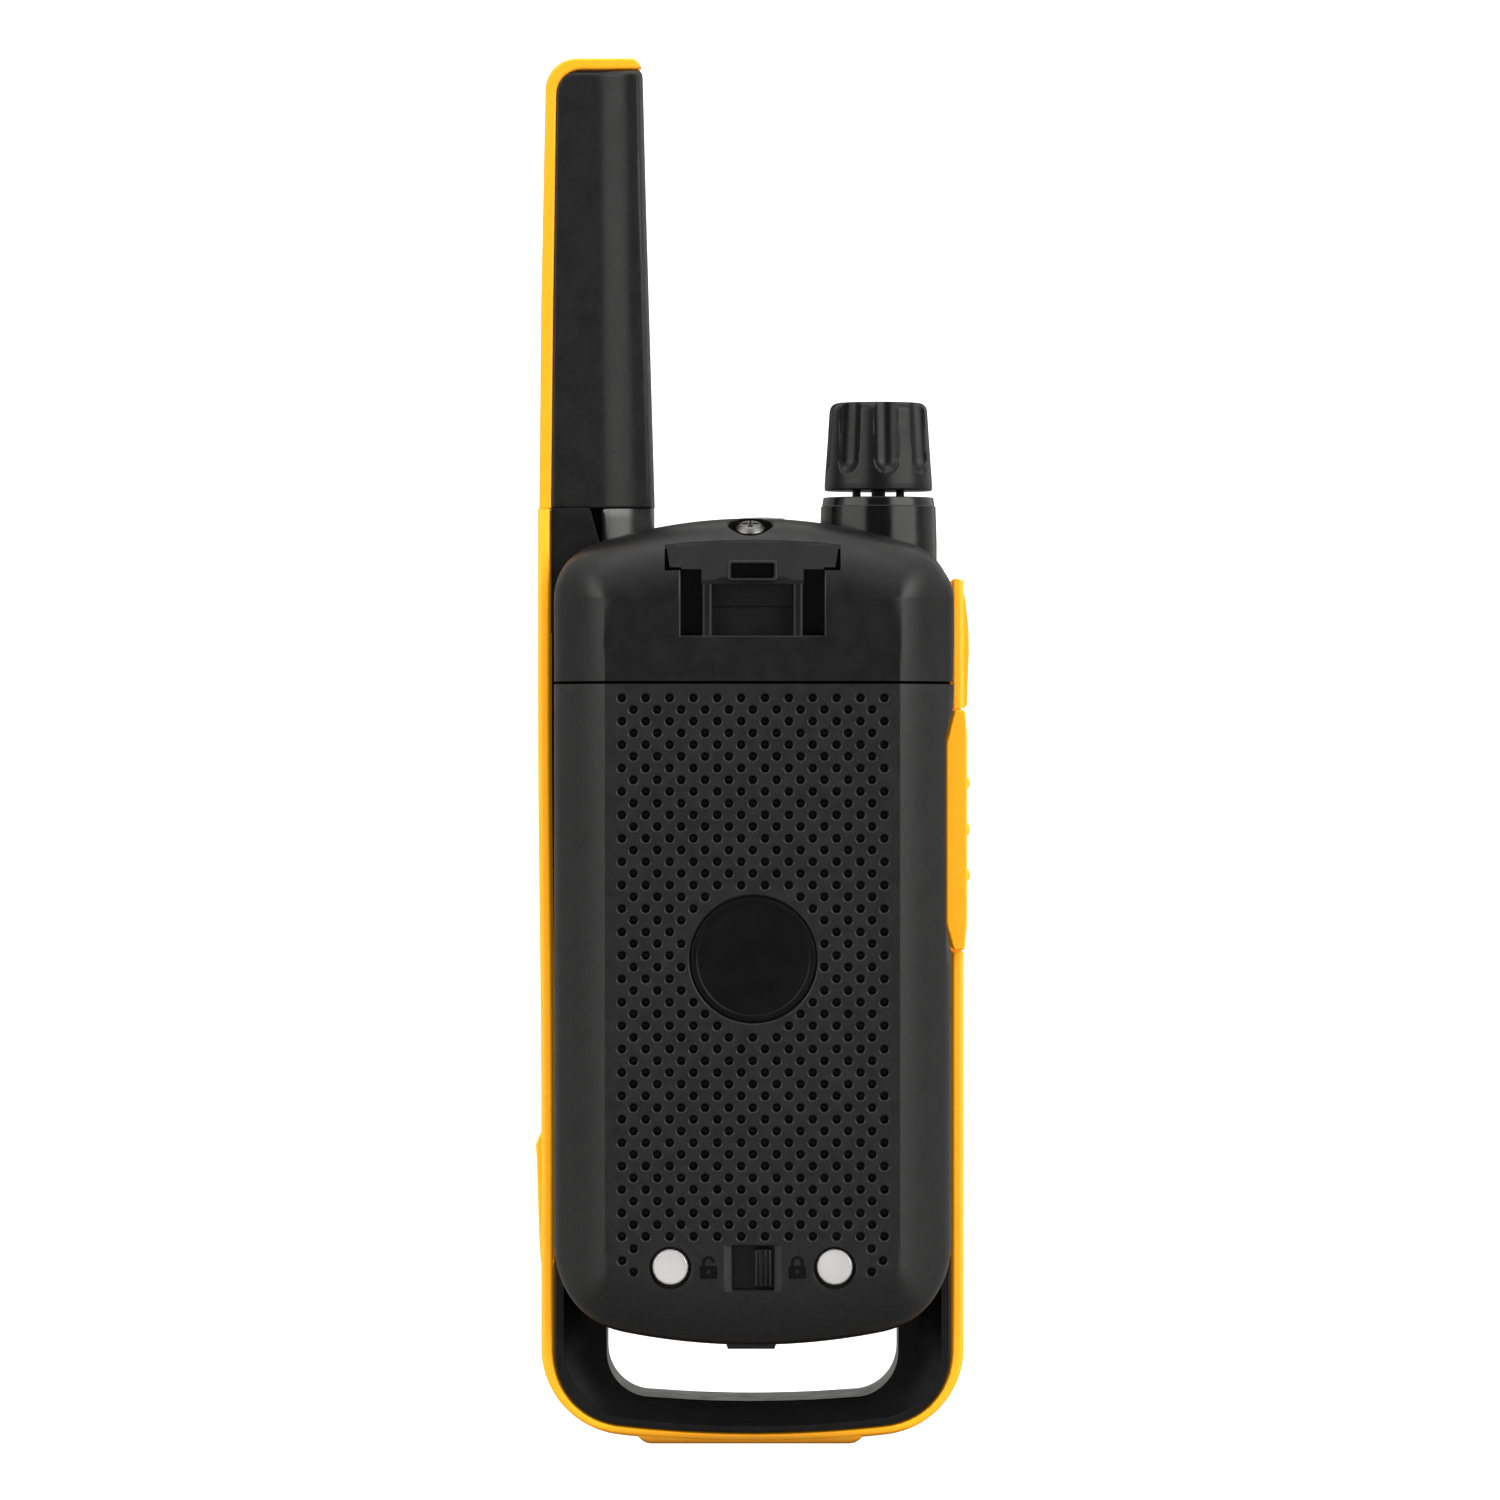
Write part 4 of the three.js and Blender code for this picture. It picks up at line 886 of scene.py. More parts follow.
def make_padlock(name, x, z, foot):
    """A padlock mark; the -X leg of its shackle ends at foot above z."""
    level = float(back_height(x, z)) + 0.03
    outline = rect(x - 1.2, x + 1.2, z - 1.6, z + 0.2, 0.25, 4)
    body = slab(name, outline, level - 0.4, level, r_high=0.02, steps=2)
    outer, inner, shoulder = 0.85, 0.45, z + 0.68
    shackle = np.concatenate([
        arc(x, shoulder, outer, 0, PI, 14), [(x - outer, z + foot), (x - inner, z + foot)],
        arc(x, shoulder, inner, PI, 0, 14), [(x + inner, z + 0.05), (x + outer, z + 0.05)]])
    join(body, slab("shackle", shackle, level - 0.35, level - 0.001))
    cut(body, cutter(circle(x, z - 0.62, 0.26, 16), level - 0.12, level + 1))
    finish(body, "door", "gloss_black", looks=["icon_black"])


# ------------------------------------------------------------------ front shell
def handle_outline():
    """The opening of the handle loop: a shallow lower arc, two corners and a straight top."""
    half, corner, radius = 20.1, 6.2, 170
    x, z = half - corner, 12.5
    return np.concatenate([arc(0, 5.75 + radius, radius, -PI / 2 - 0.077, -PI / 2 + 0.077, 10),
                           arc(x, z, corner, -1.42, 0, 12), [[half, 30.0], [-half, 30.0]],
                           arc(-x, z, corner, PI, PI + 1.42, 12)])


def cut_handle(casing):
    # the back of the loop: a thin rim, then a face that slopes in to the opening
    low = rail_half(3.1)
    low[:, 1] -= 0.9 * np.clip(1 - (low[:, 1] - 3.3) / 5.0, 0, 1)
    outer = mirror_close(np.concatenate([low, [[26.0, 60.0]]]))
    inner = mirror_close(np.concatenate([rail_half(6.2), [[22.9, 60.0]]]))
    cut(casing, mesh_object("cutter", *bridge([
        place(outer, 5, "y"), place(outer, RAIL_BACK - 0.75, "y"),
        place(inner, RAIL_BACK - 2.3, "y")])))
    opening = hole(handle_outline(), FRONT_Y, RAIL_BACK - 1.9, lip_low=0.8, lip_high=0.35,
                   steps=5, poke=6)
    cut(opening, cutter(bay_outline(0.9, 60), -40, 40))
    cut(casing, opening)


def cut_face(casing):
    """Shallow face panels, and the holes for the display, the keys and the speaker."""
    panel = rect(-20.4, 20.4, 64.2, 113.4, 5.0, 10)
    cut(casing, hole(panel, FRONT_Y, PANEL_Y, lip_low=0.35))
    disc = circle(SPEAKER_X, SPEAKER_Z, 17.0, 96)
    cut(casing, hole(disc, FRONT_Y, FRONT_Y + 0.5, lip_low=0.35))
    cut(casing, hole(face_rect(LENS_LO, LENS_HI, 0.3, 2.3, 8), PANEL_Y, -15.1, lip_low=0.3))
    cut(casing, cutter(rect(-14.4, 14.4, 89.4, 107.6, 1.2), -20, -10))
    for node, radius in KEY_R.items():
        outline = face_rect(*box_of(node), 0.3, radius + 0.2, 8)
        cut(casing, hole(outline, PANEL_Y, -10, lip_low=0.45))
    # speaker slots
    for row, half in enumerate((7.5, 11, 12.8, 13.4, 12.8, 11, 7.5)):
        z = 32.6 + 3.5 * row
        slot = rect(-half, half, z - 0.75, z + 0.75, 0.74)
        cut(casing, hole(slot, FRONT_Y + 0.5, -10, lip_low=0.45))
    cut(casing, hole(circle(0, 61.6, 0.6, 24), FRONT_Y, -10, lip_low=0.35))


def make_front():
    casing = slab("front_casing", body_outline(RAIL_T + 0.25), FRONT_Y, RAIL_BACK, r_low=1.4,
                  r_high=0.35, steps=6)
    block = [[21, 108], [27.3, 108], [27.3, 128.85], [22.4, 128.85], [21, 123.6]]
    join(casing, slab("block", block, -7.9, 1.9, r_low=0.1, r_high=0.1, steps=2))
    join(casing, slab("web", rect(19.8, 22.8, 118, 128.9), -7.9, -6.9))
    # room for the rear half
    room = slab("room", rear_outline(-0.3), -2.4, 30)
    cut(room, cutter([[12.8, 111.6], [35, 111.6], [35, 135], [12.8, 135]], -8, 2.2))
    cut(casing, room)
    cut(casing, box_cutter(-40, 12.8, -2.4, 30, 111.6, 140))
    cut_handle(casing)
    # inside
    cut(casing, cutter(rear_outline(2.9), FRONT_Y + 2.2, 30))
    # rebate for the yellow front border
    rebate = slab("rebate", rail_outline(-2, 140), FRONT_Y - 3, FRONT_Y + 1.2)
    cut(rebate, cutter(rail_outline(3.3, 141), -40, 0))
    cut(casing, rebate)
    cut_face(casing)
    # side pockets
    cut(casing, box_cutter(-40, -25.72, -13.3, 10, TALK_LO[2] - 0.5, TALK_HI[2] + 0.6))
    cut(casing, box_cutter(-40, -20, -6, -2.5, 81.4, 87.8))
    cut(casing, cutter(circle(-10.6, JACK_Z, 2.9), -40, -20, axis="x"))
    cut(casing, cutter(rect(-12.4, -8.6, 29.1, 37.9, 0.5), 20, 40, axis="x"))
    # openings in the top
    cut(casing, cutter(circle(KNOB_X, KNOB_Y, 8.4, 72), 121, 150, axis="z"))
    cut(casing, cutter(circle(ANTENNA_X, ANTENNA_Y, 4.1, 48), 117, 150, axis="z"))
    cut(casing, box_cutter(-23.5, -11, -9.5, 3.5, 100, 119.2))
    cut(casing, cutter(circle(-1.3, -9, 4.3, 48), 118, 150, axis="z"))
    lean(casing)
    finish(casing, "housing", "shell_black", "front_shell", ["shell_black", "loop_black"],
           angle=30)
    # the scooped face of the handle loop takes a finer, duller and much darker material; its
    # darkness is painted shade for the recess
    for face in casing.data.polygons:
        centre = face.center * 1000
        if centre.z < 30 and 0.3 < centre.y < 2.85 and face.normal.y > 0.4:
            face.material_index = 1


# ------------------------------------------------------------------ yellow rails
def rail_path(inset):
    """Points along the rail, from the top at -X round the bottom to the top at +X."""
    low = thin_half(inset, 26, 26)

    def half(top):
        z = np.linspace(low[-1][1], top, 25)[1:]
        return np.concatenate([low, np.stack([HALF - inset * rail_thin(z), z], 1)])

    return np.concatenate([half(118.9)[1:][::-1] * np.array([-1, 1]), half(128.75)])


def make_rails():
    # section of the rail; columns: inset, y
    lip = -15.6
    section = [(RAIL_T, lip), (RAIL_T, RAIL_BACK), (0.0, RAIL_BACK), (0.0, -16.0),
               (0.5, RAIL_LO[1]), (3.0, RAIL_LO[1]), (3.0, lip), (RAIL_T, lip)]
    section = fillet(section, [0.35, 0.7, 0.5, 0.4, 0.45, 0.12])[:-1]
    rings = np.stack([place(rail_path(inset), y, "y") for inset, y in section], 1)
    rails = mesh_object("yellow_rails", *bridge(rings))
    foot = [[-15.4, 1.2], [-14.6, 0.42], [-14.0, 0.1], [-13.3, 0], [14.0, 0], [14.6, 0.1],
            [15.2, 0.42], [16.0, 1.2], [8, 0.9], [0, 0.8], [-8, 0.9]]
    join(rails, slab("foot", foot, -14.5, 2.9, r_low=0.2, r_high=0.35, steps=5))
    # gaps for the talk button and the two rubber covers
    cut(rails, box_cutter(-40, 0, -13.3, 30, TALK_LO[2] - 0.4, 101.25))
    cut(rails, box_cutter(-40, 0, -13.3, BAND_Y, 101.2, 150))
    cut(rails, box_cutter(0, 40, -13.3, BAND_Y, USB_LO[2] - 0.35, USB_HI[2] + 0.3))
    # grip slots let into the outer face of the +X rail, longest in the middle
    for k in range(11):
        z = 58.0 + 4.2 * k
        half = 5.6 - 0.06 * (k - 5) ** 2
        slot = rect(-7.0 - half, -7.0 + half, z - 0.75, z + 0.75, 0.74, 5)
        cut(rails, hole(slot, 28.72, HALF, axis="x", lip_high=0.22, steps=3))
    lean(rails, 24.0)
    finish(rails, "housing", "rail_yellow", "bumper_frame", angle=40)


def make_talk_button():
    low, high = TALK_LO[2], TALK_HI[2]
    outline = [[-27.6, low], [-26.6, low + 3.6], [-26.6, high - 4.6], [-27.75, high],
               [-29.25, high], [-29.5, high - 3.5], [-29.5, low + 3.5], [-29.15, low]]
    outline = loop_fillet(outline, [0.4, 2.5, 2.5, 0.4, 0.4, 3, 3, 0.4])
    button = slab("talk_button", outline, TALK_LO[1], TALK_HI[1], r_low=0.36, r_high=0.3, steps=5)
    angle = np.linspace(0, 2 * PI, 24, endpoint=False)
    for z in (78.3, 84.6, 91.0):
        oval = np.stack([-29.35 + 0.65 * np.cos(angle), z + 0.95 * np.sin(angle)], 1)
        join(button, slab("rib", oval, -9, 2, r_low=0.4, r_high=0.4))
    plunger = rect(-5.6, -2.9, 82.2, 87, 0.4)
    join(button, slab("plunger", plunger, -27.0, -25.3, axis="x", r_high=0.3, steps=3))
    finish(button, "ptt", "rail_yellow", "ptt_button", angle=40)


def make_cover(name, outline, low, high, body, node, side, nub=None):
    """A rubber port cover on the side rail, with an outline sunk into its outer face."""
    back = BAND_Y - 0.25
    cover = slab(name, outline, low[1], back, r_low=0.35, r_high=0.35, steps=5)
    x = high[0] if side > 0 else low[0]
    y = (low[1] + back) / 2
    outer = rect(y - 5.4, y + 5.4, low[2] + 2.6, high[2] - 2.6, 1.6, 8)
    inner = rect(y - 4.9, y + 4.9, low[2] + 3.1, high[2] - 3.1, 1.2, 8)
    groove = slab("groove", outer, *((x - 0.75, x + 1) if side > 0 else (x - 1, x + 0.75)), "x")
    cut(groove, cutter(inner, x - 3, x + 3, axis="x"))
    cut(cover, groove)
    if nub is not None:
        join(cover, nub)
    finish(cover, body, "rail_yellow", node, angle=40)


def make_accessory_cover():
    low, high = JACK_LO[2], JACK_HI[2]
    outline = [[-27.6, low], [-27.6, high], [-28.5, high], [-29.05, high - 3.0],
               [-29.45, 112.0], [-29.5, 109.0], [-29.35, 105.5], [-29.25, low]]
    outline = loop_fillet(outline, [0.4, 0.4, 0.9, 4.0, 4.0, 3.0, 3.0, 0.38])[::-1]
    profile = fillet([(0, -27.9), (1.2, -27.9), (1.2, -26.6), (0, -26.6)], [0, 0.3], 4)
    make_cover("accessory_cover_rubber", outline, JACK_LO, JACK_HI, "accessory_cover",
               "accessory_port_cover", -1, lathe("nub", profile, 32, (-10.6, JACK_Z), "x"))


def make_usb_cover():
    low, high = USB_LO[2], USB_HI[2]
    outline = [[27.6, low], [29.2, low], [29.45, low + 4], [29.75, high - 4],
               [29.9, high - 1.2], [29.5, high], [27.6, high]]
    outline = loop_fillet(outline, [0.4, 0.5, 3, 3, 0.6, 0.45, 0.4])
    make_cover("usb_cover_rubber", outline, USB_LO, USB_HI, "usb_cover", "usb_port_cover", 1)


# ------------------------------------------------------------------ antenna
def rod_swell(x, middle, width=5.4):
    """0 on the blade, 1 on the crest of the rod, with its steepest part at middle."""
    return smoothstep(middle + width / 2 - x, 0, width)


def blade_ring(z, edge, low_x, high_x, columns, depth, low_r, high_r, shrink, thinnest):
    """A level section; depth(x) is its half depth before the two edges are rounded, and edge is
    where the low X rounding starts from."""
    share = (1 - np.cos(np.linspace(0, PI, columns))) / 2
    x = low_x + (high_x - low_x) * share
    near = np.clip((edge + low_r - x) / low_r, 0, 1)
    half = depth(x) * (1 - near**2.3) ** (1 / 2.1) - edge_drop(high_x - x, high_r)
    half = np.maximum(half - shrink, thinnest)
    level = np.full(len(x), z)
    return np.concatenate([np.stack([x, ANTENNA_Y + half, level], 1),
                           np.stack([x, ANTENNA_Y - half, level], 1)[::-1]])


def antenna_high_edge(z):
    """X of the blade's +X edge, which rounds over in a quarter circle at the top."""
    if z <= 185.6:
        return float(np.interp(z, [ANTENNA_FOOT, 156, 185.6], [27.74, 27.46, 27.04]))
    radius = 3.4
    rise = min(1.0, max(0.0, (z - 186.0) / radius))
    return 23.6 + radius * math.sqrt(max(0.0, 1 - rise * rise)) + 0.05


def make_antenna():
    """A flat blade with a round rod along its low X edge."""
    foot, top = ANTENNA_FOOT, ANTENNA_TOP
    heights = [foot, foot + 0.03, foot + 0.1, foot + 0.22, foot + 0.4,
               *np.linspace(foot + 1.5, 185.4, 46), *np.linspace(185.9, 188.0, 9),
               188.3, 188.55, 188.75, 188.9, 189.02, 189.1, 189.17, 189.22, top]
    stations = [foot, 150, 180, top]
    rings = []
    for z in heights:
        start = float(np.interp(z, [foot, 153, 170, 186, top], [13.5, 14.2, 14.7, 15.1, 15.2]))
        shrink = edge_drop(0.3 - 0.86 * (0.35 - (z - foot)), 0.3) + edge_drop(top - z, 0.8)
        low_x = start + shrink * 0.6
        high_x = max(antenna_high_edge(z) - shrink * 0.6, start + 2.5)
        rod = float(np.interp(z, stations, [4.2, 4.15, 4.05, 4.0]))
        middle = start + float(np.interp(z, stations, [4.9, 4.6, 4.1, 4.0]))
        width = float(np.interp(z, [foot, top], [5.4, 4.6]))
        rings.append(blade_ring(
            z, start, low_x, high_x, 41,
            depth=lambda x: BLADE + (rod - BLADE) * rod_swell(x, middle, width),
            low_r=1.0, high_r=0.3, shrink=shrink, thinnest=0.02))
    antenna = mesh_object("antenna_body", *bridge(rings))
    # room for the stud and the coil
    cut(antenna, cutter(circle(ANTENNA_X, ANTENNA_Y, 2.2), 120, 139.8, axis="z"))
    cut(antenna, cutter(circle(ANTENNA_X + 0.5, ANTENNA_Y, 1.75, 24), 139, 187, axis="z"))
    finish(antenna, "housing", "shell_black", "antenna_sheath", ["antenna_black"], angle=30)


def make_stripe():
    """The yellow edge up the +X side of the blade and over its top."""
    outline = np.concatenate([
        [[29.45, ANTENNA_FOOT], [29.2, 156], [28.6, 186]],
        arc(24.2, 186.6, 4.4, 0.02, PI / 2, 12),
        [[20.0, 191.0], [16.6, 191.0], [16.1, 190.8], [15.6, 190.3], [15.4, 189.9],
         [15.75, 189.45], [20.0, 189.45], [23.6, 189.45]],
        arc(23.6, 186.0, 3.45, PI / 2, 0, 10)[1:],
        [[27.07, 185.6], [27.49, 156], [27.77, ANTENNA_FOOT]]])
    stripe = slab("antenna_stripe", outline, ANTENNA_Y - BLADE, ANTENNA_Y + BLADE,
                  r_low=0.4, r_high=0.4, steps=5)
    finish(stripe, "housing", "rail_yellow", "antenna_strip", ["strip_yellow"], angle=40)


def make_antenna_foot():
    # columns: height, shrink
    stations = ((SOCKET_Z, 0.1), (SOCKET_Z + 0.1, 0.0), (123.5, 0.0), (125.5, 0.0),
                (127.4, 0.0), (128.6, 0.0), (128.84, 0.05))
    rings = [blade_ring(z, FOOT_X, FOOT_X + shrink, 21.0 - shrink, 37,
                        depth=lambda x: 2.4 + 1.35 * rod_swell(x, 18.5),
                        low_r=0.6, high_r=0.8, shrink=shrink, thinnest=0.05)
             for z, shrink in stations]
    foot = mesh_object("antenna_foot", *bridge(rings))
    cut(foot, cutter(circle(ANTENNA_X, ANTENNA_Y, 2.2), 115, 135, axis="z"))
    finish(foot, "housing", "gloss_black", "antenna_socket", ["socket_black"], angle=35)


# ------------------------------------------------------------------ knob, hub and collar
def make_knob():
    """The knob cap, with eight upright scoops round its side."""
    low, top = KNOB_LO[2], KNOB_HI[2]
    radius = (KNOB_HI[0] - KNOB_LO[0]) / 2
    outer = [(2.6, low), (radius, low), (radius, 132.2), (6.72, top), (1.2, top - 0.05),
             (0, top - 0.05)]
    profile = np.concatenate([[(0, 139.6), (2.6, 139.6)], fillet(outer, [0.25, 0.4, 1.25, 0.5], 8)])
    # more rows down the side
    rows = []
    for start, end in zip(profile[:-1], profile[1:]):
        count = max(1, int(np.linalg.norm(end - start) / 0.3))
        if start[0] < 5.2 and end[0] < 5.2:
            count = 1
        rows += [start + (end - start) * j / count for j in range(count)]
    rows.append(profile[-1])
    sides = 384
    angle = np.arange(sides) / sides * 2 * PI
    first = PI / 2 + math.radians(8.6)
    from_scoop = (angle - first + PI / 8) % (PI / 4) - PI / 8
    softness = 0.14  # rounds the lip of a scoop
    scoop_foot = 135.55  # below this the scoops close in a round end
    rings = []
    for r, z in rows:
        reach = np.full(sides, r)
        if r > 3.5 and z > low + 0.3:
            distance = 8.28 - math.tan(math.radians(3.9)) * (z - 133.7)
            scoop_r = 2.06
            if z < scoop_foot:
                scoop_r = math.sqrt(max(0.0, scoop_r**2 - (scoop_foot - z) ** 2))
            if scoop_r > 0.02:
                across = distance * np.sin(from_scoop)
                depth = np.sqrt(np.maximum(0, scoop_r**2 - across**2))
                wall = np.where(np.abs(across) < scoop_r,
                                distance * np.cos(from_scoop) - depth, 99.0)
                share = np.clip(0.5 + 0.5 * (wall - r) / softness, 0, 1)
                soft = wall * (1 - share) + r * share - softness * share * (1 - share)
                reach = np.minimum(soft, r)
        rings.append(np.stack([KNOB_X + reach * np.cos(angle), KNOB_Y + reach * np.sin(angle),
                               np.full(sides, z)], 1))
    finish(mesh_object("knob_cap", *bridge(rings, False, False)),
           "knob", "knob_black", "volume_knob", angle=42)


def make_hub():
    profile = [(0, 113.4), (2.3, 113.4), (2.3, 128.9), (0.72, 129.1), (0.72, 131.6),
               (2.3, 131.8), (2.3, 139.2), (0, 139.2)]
    hub = lathe("knob_hub", fillet(profile, [0.2, 0.1, 0, 0, 0.1, 0.2], 3), 64, (KNOB_X, KNOB_Y))
    profile = [(2.0, 128.6), (3.6, 128.6), (3.6, 131.28), (2.5, 131.28), (2.5, 129.2),
               (2.0, 129.2), (2.0, 128.6)]
    ring = lathe("ring", profile, 64, (KNOB_X, KNOB_Y))
    centre = Matrix.Translation((KNOB_X, KNOB_Y, 0))
    for i in range(4):
        wedge = [[0.2, 0.0], [1.0, -0.8], [6, -3.2], [6, 3.2], [1.0, 0.8]]
        gap = cutter(wedge, 129.3, 133, axis="z")
        gap.data.transform(centre @ Matrix.Rotation(PI / 4 + i * PI / 2, 4, "Z"))
        cut(ring, gap)
    join(hub, ring)
    finish(hub, "knob", "knob_black", "knob_shaft")


def make_collar():
    profile = [(3.9, 121.3), (8.1, 121.3), (8.1, 124.0), (7.95, 129.1), (7.8, 129.2),
               (7.62, 130.4), (4.3, 130.4), (4.3, 128.0), (5.6, 127.0), (5.6, 123.3),
               (3.9, 123.3), (3.9, 121.3)]
    profile = fillet(profile, [0.1, 0.5, 0.05, 0.04, 0.2, 0.15, 0.1, 0.3, 0.1, 0.1], 4)
    finish(lathe("knob_ring", profile, 128, (KNOB_X, KNOB_Y)),
           "housing", "gloss_black", "knob_collar")


# ------------------------------------------------------------------ top screw and torch
def make_screw():
    profile = [(0, -8), (0.7, -8), (1.15, -7), (1.15, 0), (2.05, 0), (2.05, 0.7),
               (1.4, 1.35), (0, 1.45)]
    screw = lathe("cross_screw", fillet(profile, [0, 0.1, 0, 0.1, 0.25, 0.5], 4), 48)
    # the cross; columns: half length, half width, corner radius, height
    levels = ((0.75, 0.16, 0.06, 0.5), (1.3, 0.3, 0.08, 1.25), (1.5, 0.36, 0.1, 2.0))
    for angle in (0, PI / 2):
        groove = mesh_object("cutter", *bridge([
            place(rect(-length, length, -width, width, radius, 3), z, "z")
            for length, width, radius, z in levels]))
        groove.data.transform(Matrix.Rotation(angle, 4, "Z"))
        cut(screw, groove)
    x, y, z = SCREW_POS
    lift = 0.3
    seat = (x, y + lift * math.sin(SCREW_TILT), z + lift * math.cos(SCREW_TILT))
    screw.data.transform(Matrix.Translation(seat) @ Matrix.Rotation(-SCREW_TILT, 4, "X"))
    finish(screw, "housing", "bright_metal", "case_screw_top", ["screw_steel"])


def make_torch():
    low, high = (corner[2] for corner in box_of("torch_lens"))
    centre = centre_of("torch_lens")[:2]
    profile = [(0, low), (3.9, low), (3.9, 127.2), (3.0, 127.7), (0, high)]
    finish(lathe("torch_glass", fillet(profile, [0.1, 0.3, 0.6], 4), 64, centre),
           "housing", "clear_lens", "torch_lens")
    base, inside = 119.6, 120.4
    profile = [(1.3, base), (1.8, base)]
    profile += [(1.8 + 2.2 * (k / 10) ** 0.6, base + 5.8 * k / 10) for k in range(1, 11)]
    profile += [(4.0, 126.1), (3.6, 126.1)]
    profile += [(1.3 + 2.3 * (k / 10) ** 0.55, inside + 5.6 * k / 10) for k in range(9, 0, -1)]
    profile += [(1.3, inside), (1.3, base)]
    finish(lathe("torch_bowl", profile, 64, centre),
           "housing", "bright_metal", "torch_reflector")


# ------------------------------------------------------------------ display, keys, speaker
def make_display():
    window = slab("display_window", face_rect(LENS_LO, LENS_HI, 0, 2.0, 8), LENS_LO[1],
                  LENS_HI[1], r_low=0.3)
    finish(window, "housing", "smoked_lens", "display_lens")
    low, high = box_of("display_module")
    panel = slab("display_panel", face_rect(low, high, 0, 0.8), low[1], high[1],
                 r_low=0.2, r_high=0.2, steps=3)
    finish(panel, "housing", "display_grey", "display_module")
    # the lighter viewing area, just proud of the window
    view = slab("view_area", rect(-12.4, 12.4, 90.9, 106.1, 0.7, 5), LENS_LO[1] - 0.012,
                LENS_LO[1] + 0.3)
    finish(view, "housing", "smoked_lens", looks=["view_grey"], angle=30)


def triangle(x, z, size, way):
    """A triangle that points up for way = 1 and down for way = -1."""
    base = z - 0.5 * size * way
    tip = [x, z + 0.62 * size * way]
    left, right = [x - size, base], [x + size, base]
    return np.array([left, right, tip] if way > 0 else [left, tip, right])


def key_marks(node, x, z):
    """Outlines of the marks on a key."""
    if node == "key_menu":
        return [rect(x - 1.5, x + 1.5, z + rise - 0.2, z + rise + 0.2, 0.15, 3)
                for rise in (-0.95, 0, 0.95)]
    if node == "key_scan":
        return [triangle(x + 0.9, z + 0.25, 0.85, 1), triangle(x - 0.9, z - 0.25, 0.85, -1)]
    if node == "key_up":
        return [triangle(x, z, 1.2, 1)]
    if node == "key_down":
        return [triangle(x, z, 1.2, -1)]
    if node == "key_call":
        # a dot between two curved bars
        return [circle(x, z, 0.55, 24)] + [
            np.concatenate([arc(x, z, 1.65, middle - 0.6, middle + 0.6, 10),
                            arc(x, z, 1.25, middle + 0.6, middle - 0.6, 10)])
            for middle in (0, PI)]
    # a dot with eight rays
    marks = [circle(x, z, 0.75, 24)]
    centre = np.array([x, z])
    for k in range(8):
        angle = k * PI / 4
        along = np.array([math.cos(angle), math.sin(angle)])
        across = np.array([-along[1], along[0]]) * 0.14
        near, far = centre + along * 1.1, centre + along * 1.75
        marks.append(np.array([near - across, far - across, far + across, near + across]))
    return marks


def make_keys():
    for node, radius in KEY_R.items():
        low, high = box_of(node)
        front, back = low[1], high[1]
        key = slab(node + "_cap", face_rect(low, high, 0, radius, 8), front + 0.5, back,
                   r_low=0.2, steps=3)
        join(key, slab("top", face_rect(low, high, -0.6, radius - 0.5, 8), front, back - 0.1,
                       r_low=0.45, steps=5))
        body = node + "_body"
        finish(key, body, "key_rubber", node, angle=38)
        x, _, z = centre_of(node)
        for i, outline in enumerate(key_marks(node, x, z)):
            mark = slab("%s_mark_%d" % (node, i + 1), outline, front - 0.03, front + 0.17)
            finish(mark, body, "key_rubber", looks=["key_mark"], weighted=False)


def make_speaker_cloth():
    low, high = box_of("speaker_mesh")
    radius = (high[0] - low[0]) / 2
    profile = [(0, low[1]), (radius, low[1]), (radius, high[1]), (0, high[1])]
    finish(lathe("speaker_cloth", profile, 64, (SPEAKER_X, SPEAKER_Z), "y"),
           "housing", "paper_cone", "speaker_mesh")


# ------------------------------------------------------------------ battery cells
def make_cells():
    """Three cells; the middle one stands upside down."""
    for i, upright in ((1, True), (2, False), (3, True)):
        node = "battery_cell_%d" % i
        low, high = box_of(node)
        x, y, _ = centre_of(node)
        radius, length = (high[0] - low[0]) / 2, high[2] - low[2]
        shoulder = length - 1.2
        profile = [(0, 0.1), (4.5, 0.1), (4.9, 0.0), (6.6, 0.0), (radius, 0.5),
                   (radius, length - 1.75), (6.75, shoulder), (2.95, shoulder),
                   (2.75, length - 1.05), (2.75, length), (0, length)]
        profile = fillet(profile, [0.1, 0.1, 0.3, 0.4, 0.5, 0.2, 0.1, 0.1, 0.35], 4)
        profile = [(r, low[2] + h if upright else high[2] - h) for r, h in profile]
        cell = lathe("cell_%d" % i, profile, 72, (x, y))
        finish(cell, "housing", "cell_wrap", node, ["cell_wrap", "cell_cap", "gloss_black"],
               angle=35)
        # bare metal at both ends
        for face in cell.data.polygons:
            centre = face.center * 1000
            height = centre.z - low[2] if upright else high[2] - centre.z
            from_axis = math.hypot(centre.x - x, centre.y - y)
            if from_axis < 5.6 and (height > length - 2 or height < 1):
                face.material_index = 1


# ------------------------------------------------------------------ nodes that stay as they are
KEPT = {
    "housing_seal": "rubber_black", "door_seal": "rubber_black", "shaft_seal": "rubber_black",
    "main_pcb": "board_green", "rf_shield": "bright_metal", "ptt_switch": "grey_plastic",
    "accessory_socket": "gloss_black", "usb_socket": "bright_metal",
    "keypad_mat": "grey_plastic", "speaker_basket": "grey_plastic",
    "speaker_cone": "paper_cone", "speaker_magnet": "steel", "microphone": "steel",
    "battery_contact_top": "bright_metal", "battery_contact_bottom": "bright_metal",
    "antenna_stud": "brass", "antenna_coil": "brass", "encoder_body": "steel",
    "encoder_nut": "bright_metal", "torch_led": "led_white", "case_screw_1": "steel",
    "case_screw_2": "steel", "case_screw_3": "steel", "case_screw_4": "steel",
}


